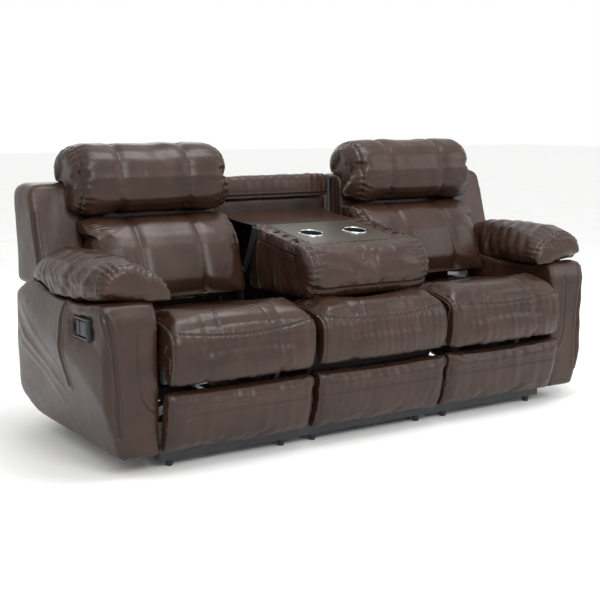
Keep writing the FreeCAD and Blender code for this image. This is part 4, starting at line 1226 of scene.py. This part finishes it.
@dataclass
class ConsoleUnit:
    """The fold-down console: cushion, tray, cups, rims and the flap behind it."""

    shop: Workshop
    tilt: float = math.radians(8.34)
    tray: Pair = (-0.1125, 0.7085)
    half_width: float = 0.191
    half_length: float = 0.155
    cup_x: float = 0.098
    cup_y: float = -0.008
    cup_profile: tuple[Pair, ...] = (
        (0.0, -0.0745), (0.034, -0.0745), (0.0385, -0.072), (0.0405, -0.066), (0.0417, -0.002),
        (0.0417, 0.0004), (0.0433, 0.0004), (0.0433, -0.070), (0.041, -0.0755), (0.0, -0.0755),
    )
    rim_profile: tuple[Pair, ...] = (
        (0.0418, 0.0002), (0.0418, 0.0022), (0.0428, 0.0033), (0.0446, 0.0036), (0.0466, 0.0026),
        (0.0476, 0.0004),
    )

    def build(self) -> None:
        """Build the console's pieces."""
        self.cushion()
        self.edge_band()
        self.cups()
        self.flap()

    def place(self, piece: Piece) -> Piece:
        """Turn a piece drawn flat about the tray's centre into its place, in its mesh."""
        piece.data.transform(Euler((self.tilt, 0, 0)).to_matrix().to_4x4())
        for vertex in piece.data.vertices:
            vertex.co.y += self.tray[0]
            vertex.co.z += self.tray[1]
        piece.data.update()
        return piece

    def cushion(self) -> None:
        """The leather cushion with its gathered front roll."""
        piece = copy_node("console_cushion_leather", self.shop.nodes["console_cushion"])
        stuff(piece, Filling(voxel=0.0085, plump=0.002, cap=0.009, rounds=3), self.rests)
        skin = Skin(piece)
        along, up = self.flat(skin.points)
        band = (np.abs(skin.points[:, 0]) > 0.186) & (np.abs(along) < 0.175) & (up > -0.022)
        crown = 0.0015 + 0.004 * np.sin(math.pi * np.clip((np.abs(skin.points[:, 0]) - 0.19) / 0.075,
                                                          0, 1))
        skin.points[:, 2] += np.where(band, np.maximum(crown - up, 0), 0)
        skin.write()
        ends = [skin.loop_across(x, (-0.27, 0.60), (300, 60), 60) for x in (-0.236, 0.236)]
        low = skin.lay([(x, -1, 0.535) for x in np.linspace(-0.25, 0.25, 40)], FROM_FRONT)
        sides = [skin.lay([(s * 1.0, y, 0.668 + 0.147 * (y + 0.11)) for y in np.linspace(-0.27, 0.0,
                                                                                         14)], (-s, 0,
                                                                                                0))
                 for s in (-1, 1)]
        for number, end in enumerate(ends):
            skin.seam(end, Sewn.CONSOLE_END)
            skin.gather(end, reach=0.034, depth=0.0042, spacing=0.025, seed=151 + number)
        skin.seam(low, Sewn.CONSOLE_LOW)
        for path in sides:
            skin.seam(path, Sewn.CONSOLE_SIDE)
        skin.folds(size=0.1, depth=0.002, seed=157, stretch=(2.0, 1.0, 1.0),
                   where=fade(-skin.points[:, 1], 0.2, 0.3))
        skin.folds(size=0.07, depth=0.0022, seed=159, stretch=(1.0, 1.0, 2.0),
                   where=fade(np.abs(skin.points[:, 0]), 0.24, 0.26))
        skin.write()
        self.shop.pad("console_cushion", "console", skin, fill=0.7)
        self.shop.sew("console_thread", "console", skin, [low])
        for number, path in enumerate(sides):
            self.shop.welt(f"console_side_welt_{number}", "console", path, 0.0028)
        self.shop.welt("console_front_welt", "console", low, 0.0026)

    def flat(self, points: np.ndarray) -> tuple[np.ndarray, np.ndarray]:
        """How far each point lies along the tray and above it."""
        y, z = points[:, 1] - self.tray[0], points[:, 2] - self.tray[1]
        level, slope = math.cos(self.tilt), math.sin(self.tilt)
        return y * level + z * slope, z * level - y * slope

    def rests(self, points: np.ndarray) -> np.ndarray:
        """The space for the tray, the board and the cups stays as it is."""
        along, up = self.flat(points)
        under = (np.abs(points[:, 0]) < 0.2) & (np.abs(along) < 0.165) & (up > -0.09) & (up < 0.02)
        return under | (points[:, 1] > 0.02) | (points[:, 2] < 0.505)

    def edge_band(self) -> None:
        """A thin dark band round the tray."""
        w, l = self.half_width - 0.0005, self.half_length - 0.0005
        block = add_block("tray_edge_band", (0, 0, -0.0012), (2 * w, 2 * l, 0.0036))
        pick_faces(block, lambda c, n: abs(n.z) > 0.9)
        with edit_mode():
            bpy.ops.mesh.inset(thickness=0.0032)
            bpy.ops.mesh.bridge_edge_loops()
        finish_modifier(block, "BEVEL", width=0.0006, segments=2, limit_method="ANGLE")
        self.shop.keep(self.place(block), EDGE_BAND, "black_plastic", "console")

    def cups(self) -> None:
        """Moulded cups with a lip, bright rims and a small tick in front of each rim."""
        for side in Side:
            x = side.value * self.cup_x
            cup = self.turned(side.prefix + "cup_liner", x, self.cup_profile)
            self.shop.keep(self.place(cup), BLACK_ABS, "black_plastic", "console")
            rim = self.turned(side.prefix + "cup_rim", x, self.rim_profile)
            self.shop.keep(self.place(rim), CHROME, "silver_rim", "console")
            tick = add_block(side.prefix + "cup_tick", (x, self.cup_y - 0.058, 0.0006), (0.0035, 0.011, 0.0012))
            finish_modifier(tick, "BEVEL", width=0.0005, segments=2, limit_method="ANGLE")
            self.shop.keep(self.place(tick), CHROME, "silver_rim", "console")
            if side is Side.RIGHT:
                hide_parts("console_cups")
                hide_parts("console_cup_rings")

    def turned(self, name: str, x: float, profile: Sequence[Pair], sides: int = 64) -> Piece:
        """Spin a profile of radius and height about a cup's axis.

        Args:
            name: The object's name.
            x: Where the axis stands along X.
            profile: Radius and height of each point, in order.
            sides: How many steps the turn has.

        Returns:
            The closed, outward-facing object.
        """
        closed = list(profile) + ([profile[0]] if profile[0][0] > 0 else [])
        points = np.array([(x + r, self.cup_y, z) for r, z in closed])
        piece = new_piece(name, points, [], [(i, i + 1) for i in range(len(points) - 1)])
        choose(piece)
        with edit_mode():
            bpy.ops.mesh.select_all(action="SELECT")
            bpy.ops.mesh.spin(steps=sides, angle=2 * math.pi, center=(x, self.cup_y, 0), axis=(0, 0, 1))
        merge(piece, 0.00002)
        smooth_shade(piece, 50)
        return piece

    def flap(self) -> None:
        """The leather flap that runs from the recess down to the tray."""
        rows, columns = 36, 60
        points = []
        for j in range(rows):
            t = j / (rows - 1)
            for i in range(columns):
                x = -0.243 + 0.486 * i / (columns - 1)
                ripple = 0.0016 * math.sin(x * 21 + 2 * t) * math.sin(math.pi * t)
                points.append((x, 0.050 + 0.262 * t,
                               0.7315 + 0.0245 * t - 0.006 * math.sin(math.pi * t) + ripple))
        faces = [[j * columns + i, j * columns + i + 1, (j + 1) * columns + i + 1,
                  (j + 1) * columns + i]
                 for j in range(rows - 1) for i in range(columns - 1)]
        piece = new_piece("console_flap_leather", np.array(points), faces)
        finish_modifier(piece, "SOLIDIFY", thickness=0.0024, offset=-1.0)
        smooth_shade(piece, 60)
        self.shop.finishes.put(piece, LEATHER)
        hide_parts("console_flap")
        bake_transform(piece)
        LOG.info("piece %s bends between console and base", piece.name)


@dataclass
class CentreUnit:
    """The fixed centre back: recess board, top rail pad and outside panels."""

    shop: Workshop

    def build(self) -> None:
        """Build the centre's padded pieces."""
        rail = copy_node("center_top_rail_leather", self.shop.nodes["center_top_rail_pad"])
        stuff(rail, Filling(voxel=0.006, plump=0.001, rounds=3, simulated=False),
              lambda p: (p[:, 1] > 0.375) | (p[:, 2] < 0.812))
        skin = Skin(rail)
        near_end = fade(skin.points[:, 0], 0.08, 0.2)
        skin.folds(size=0.035, depth=0.0014, seed=171, stretch=(0.7, 1.0, 5.0), where=near_end)
        skin.folds(size=0.06, depth=0.0012, seed=173, stretch=(0.9, 1.0, 4.0))
        low = skin.lay([(x, -1, 0.818) for x in np.linspace(-0.255, 0.255, 30)], FROM_FRONT)
        skin.seam(low, Sewn.RAIL_LOW)
        skin.write()
        self.shop.pad("center_top_rail_pad", "base", skin, fill=0.5)
        self.shop.sew("center_rail_thread", "base", skin, [low])
        panel = copy_node("center_back_panel_leather", self.shop.nodes["center_back_panel"])
        stuff(panel, Filling(voxel=0.010, plump=0.0, rounds=3, simulated=False),
              lambda p: p[:, 1] > 0.32)
        skin = Skin(panel)
        skin.folds(size=0.11, depth=0.0018, seed=177, stretch=(0.9, 1.0, 1.8))
        skin.write()
        # The recessed panel gets the darker copy of the leather, as painted shade.
        self.shop.pad("center_back_panel", "base", skin, SHADE_PAINTED_LEATHER, 0.3)
        self.outside()

    def outside(self) -> None:
        """The outside back panels, with two upright stitched seams."""
        cover = copy_node("rear_cover_leather", self.shop.nodes["rear_cover_panels"])
        finish_modifier(cover, "REMESH", mode="VOXEL", voxel_size=0.008)
        finish_modifier(cover, "SMOOTH", factor=0.5, iterations=4)
        skin = Skin(cover)
        skin.folds(size=0.16, depth=0.0012, seed=181, stretch=(1.0, 1.0, 1.4))
        lines = [skin.lay([(x, 2, z) for z in np.linspace(0.17, 0.79, 16)],
                          FROM_REAR) for x in (-0.235, 0.235)]
        for path in lines:
            skin.seam(path, Sewn.COVER_LINE)
        skin.write()
        smooth_shade(cover)
        self.shop.keep(cover, LEATHER, "leather", "base")
        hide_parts("rear_cover_panels")
        self.shop.sew("rear_cover_thread", "base", skin, lines)


@dataclass
class HardParts:
    """The frame's rigid nodes, which keep their own shape and get their finish."""

    shop: Workshop

    def build(self) -> None:
        """Finish each rigid node by its material slot."""
        table = {
            POWDER_STEEL: ("front_base_rails", "base_chassis", "console_hinge_brackets",
                           "console_hinge_arms"),
            BLACK_ABS: ("floor_glides", "lever_bezels", "console_cups"),
            ZINC_STEEL: ("frame_bolts",),
            PLYWOOD: ("center_back_frame",),
            PAINTED_BOARD: ("center_seat_frame", "console_board"),
            LAMINATE: ("console_tray",),
            CHROME: ("console_cup_rings",),
        }
        for side in Side:
            p = side.prefix
            for finish, names in (
                (POWDER_STEEL,
                 ("seat_cross_rails", "mechanism_plates", "drive_links", "back_hinge_plates")),
                (ZINC_STEEL, ("crank_links", "reach_links", "stay_links", "footrest_brackets")),
                (PLYWOOD, ("back_frame",)),
                (PAINTED_BOARD, ("footrest_board",)),
                (WEBBING, ("seat_webbing",)),
                (BLACK_ABS, ("release_lever",)),
            ):
                table[finish] = table.get(finish, ()) + tuple(p + name for name in names)
        for finish, names in table.items():
            for name in names:
                self.shop.finishes.put(self.shop.nodes[name], finish)
                LOG.info("node %s gets %s", name, finish.name)
        for name, node in self.shop.nodes.items():
            if not node.hide_render and name not in sum(table.values(), ()):
                self.shop.finishes.put(node, LEATHER)


@dataclass
class Studio:
    """A pale floor, soft lights and the camera at the photograph's angle."""

    camera: Point = (-2.4345, -3.6324, 1.135)
    angles: Point = (80.90, 0.0, -33.09)
    lens: float = 69.28

    def build(self) -> None:
        """Build the floor, the lights and the camera."""
        deselect()
        bpy.ops.mesh.primitive_plane_add(size=60, location=(0, 0, 0))
        floor = bpy.context.active_object
        floor.name = "studio_floor"
        paper = bpy.data.materials.new("matt_white_paper")
        paper.use_nodes = True
        tree = paper.node_tree
        place = add_node(tree, "ShaderNodeTexCoord").outputs["Object"]
        fibre = add_node(tree, "ShaderNodeTexNoise", {"Vector": place, "Scale": 3.0})
        tree.links.new(ramp(tree, fibre.outputs["Fac"], [(0.3, "f4f4f3"), (0.7, "f7f7f7")]),
                       tree.nodes["Principled BSDF"].inputs["Base Color"])
        tree.nodes["Principled BSDF"].inputs["Roughness"].default_value = 0.9
        floor.data.materials.append(paper)
        world = bpy.data.worlds.new("pale_studio")
        world.use_nodes = True
        world.node_tree.nodes["Background"].inputs["Color"].default_value = (1.0, 1.0, 1.0, 1.0)
        world.node_tree.nodes["Background"].inputs["Strength"].default_value = 1.0
        bpy.context.scene.world = world
        bpy.context.scene.view_settings.view_transform = "Standard"
        self.light("key", (-0.7, -4.0, 3.2), (0, 0, 0.55), 1.6, 80)
        self.light("fill", (3.4, -2.6, 2.2), (0.2, 0, 0.5), 1.8, 24)
        self.light("top", (0.3, -0.6, 3.4), (0, 0, 0.5), 1.6, 60)
        self.light("rear", (0.5, 3.6, 2.4), (0, 0, 0.6), 2.4, 25)
        data = bpy.data.cameras.new("view")
        data.lens = self.lens
        data.sensor_width = 36.0
        camera = bpy.data.objects.new("view", data)
        camera.location = self.camera
        camera.rotation_euler = [math.radians(a) for a in self.angles]
        bpy.context.scene.collection.objects.link(camera)
        bpy.context.scene.camera = camera
        LOG.info("studio ready")

    @staticmethod
    def light(name: str, place: Point, aim: Point, size: float, watts: float) -> None:
        """Hang one soft square light.

        Args:
            name: Its name.
            place: Where it hangs.
            aim: The point that it faces.
            size: Its width.
            watts: Its power.
        """
        data = bpy.data.lights.new(name, "AREA")
        data.size = size
        data.energy = watts
        lamp = bpy.data.objects.new(name, data)
        lamp.location = place
        lamp.rotation_euler = (Vector(aim) - Vector(place)).to_track_quat("-Z", "Y").to_euler()
        bpy.context.scene.collection.objects.link(lamp)


def main() -> None:
    """Build the studio and each sub-assembly in turn."""
    logging.basicConfig(level=logging.INFO, format="%(message)s")
    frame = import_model()
    Studio().build()
    shop = Workshop(frame["nodes"], Finishes(), Stitching())
    for unit in (BackUnit(shop), SeatUnit(shop), FootrestUnit(shop), ArmUnit(shop), ConsoleUnit(shop),
                 CentreUnit(shop),
                 HardParts(shop)):
        unit.build()
        LOG.info("%s done", type(unit).__name__)


if __name__ == "__main__":
    main()
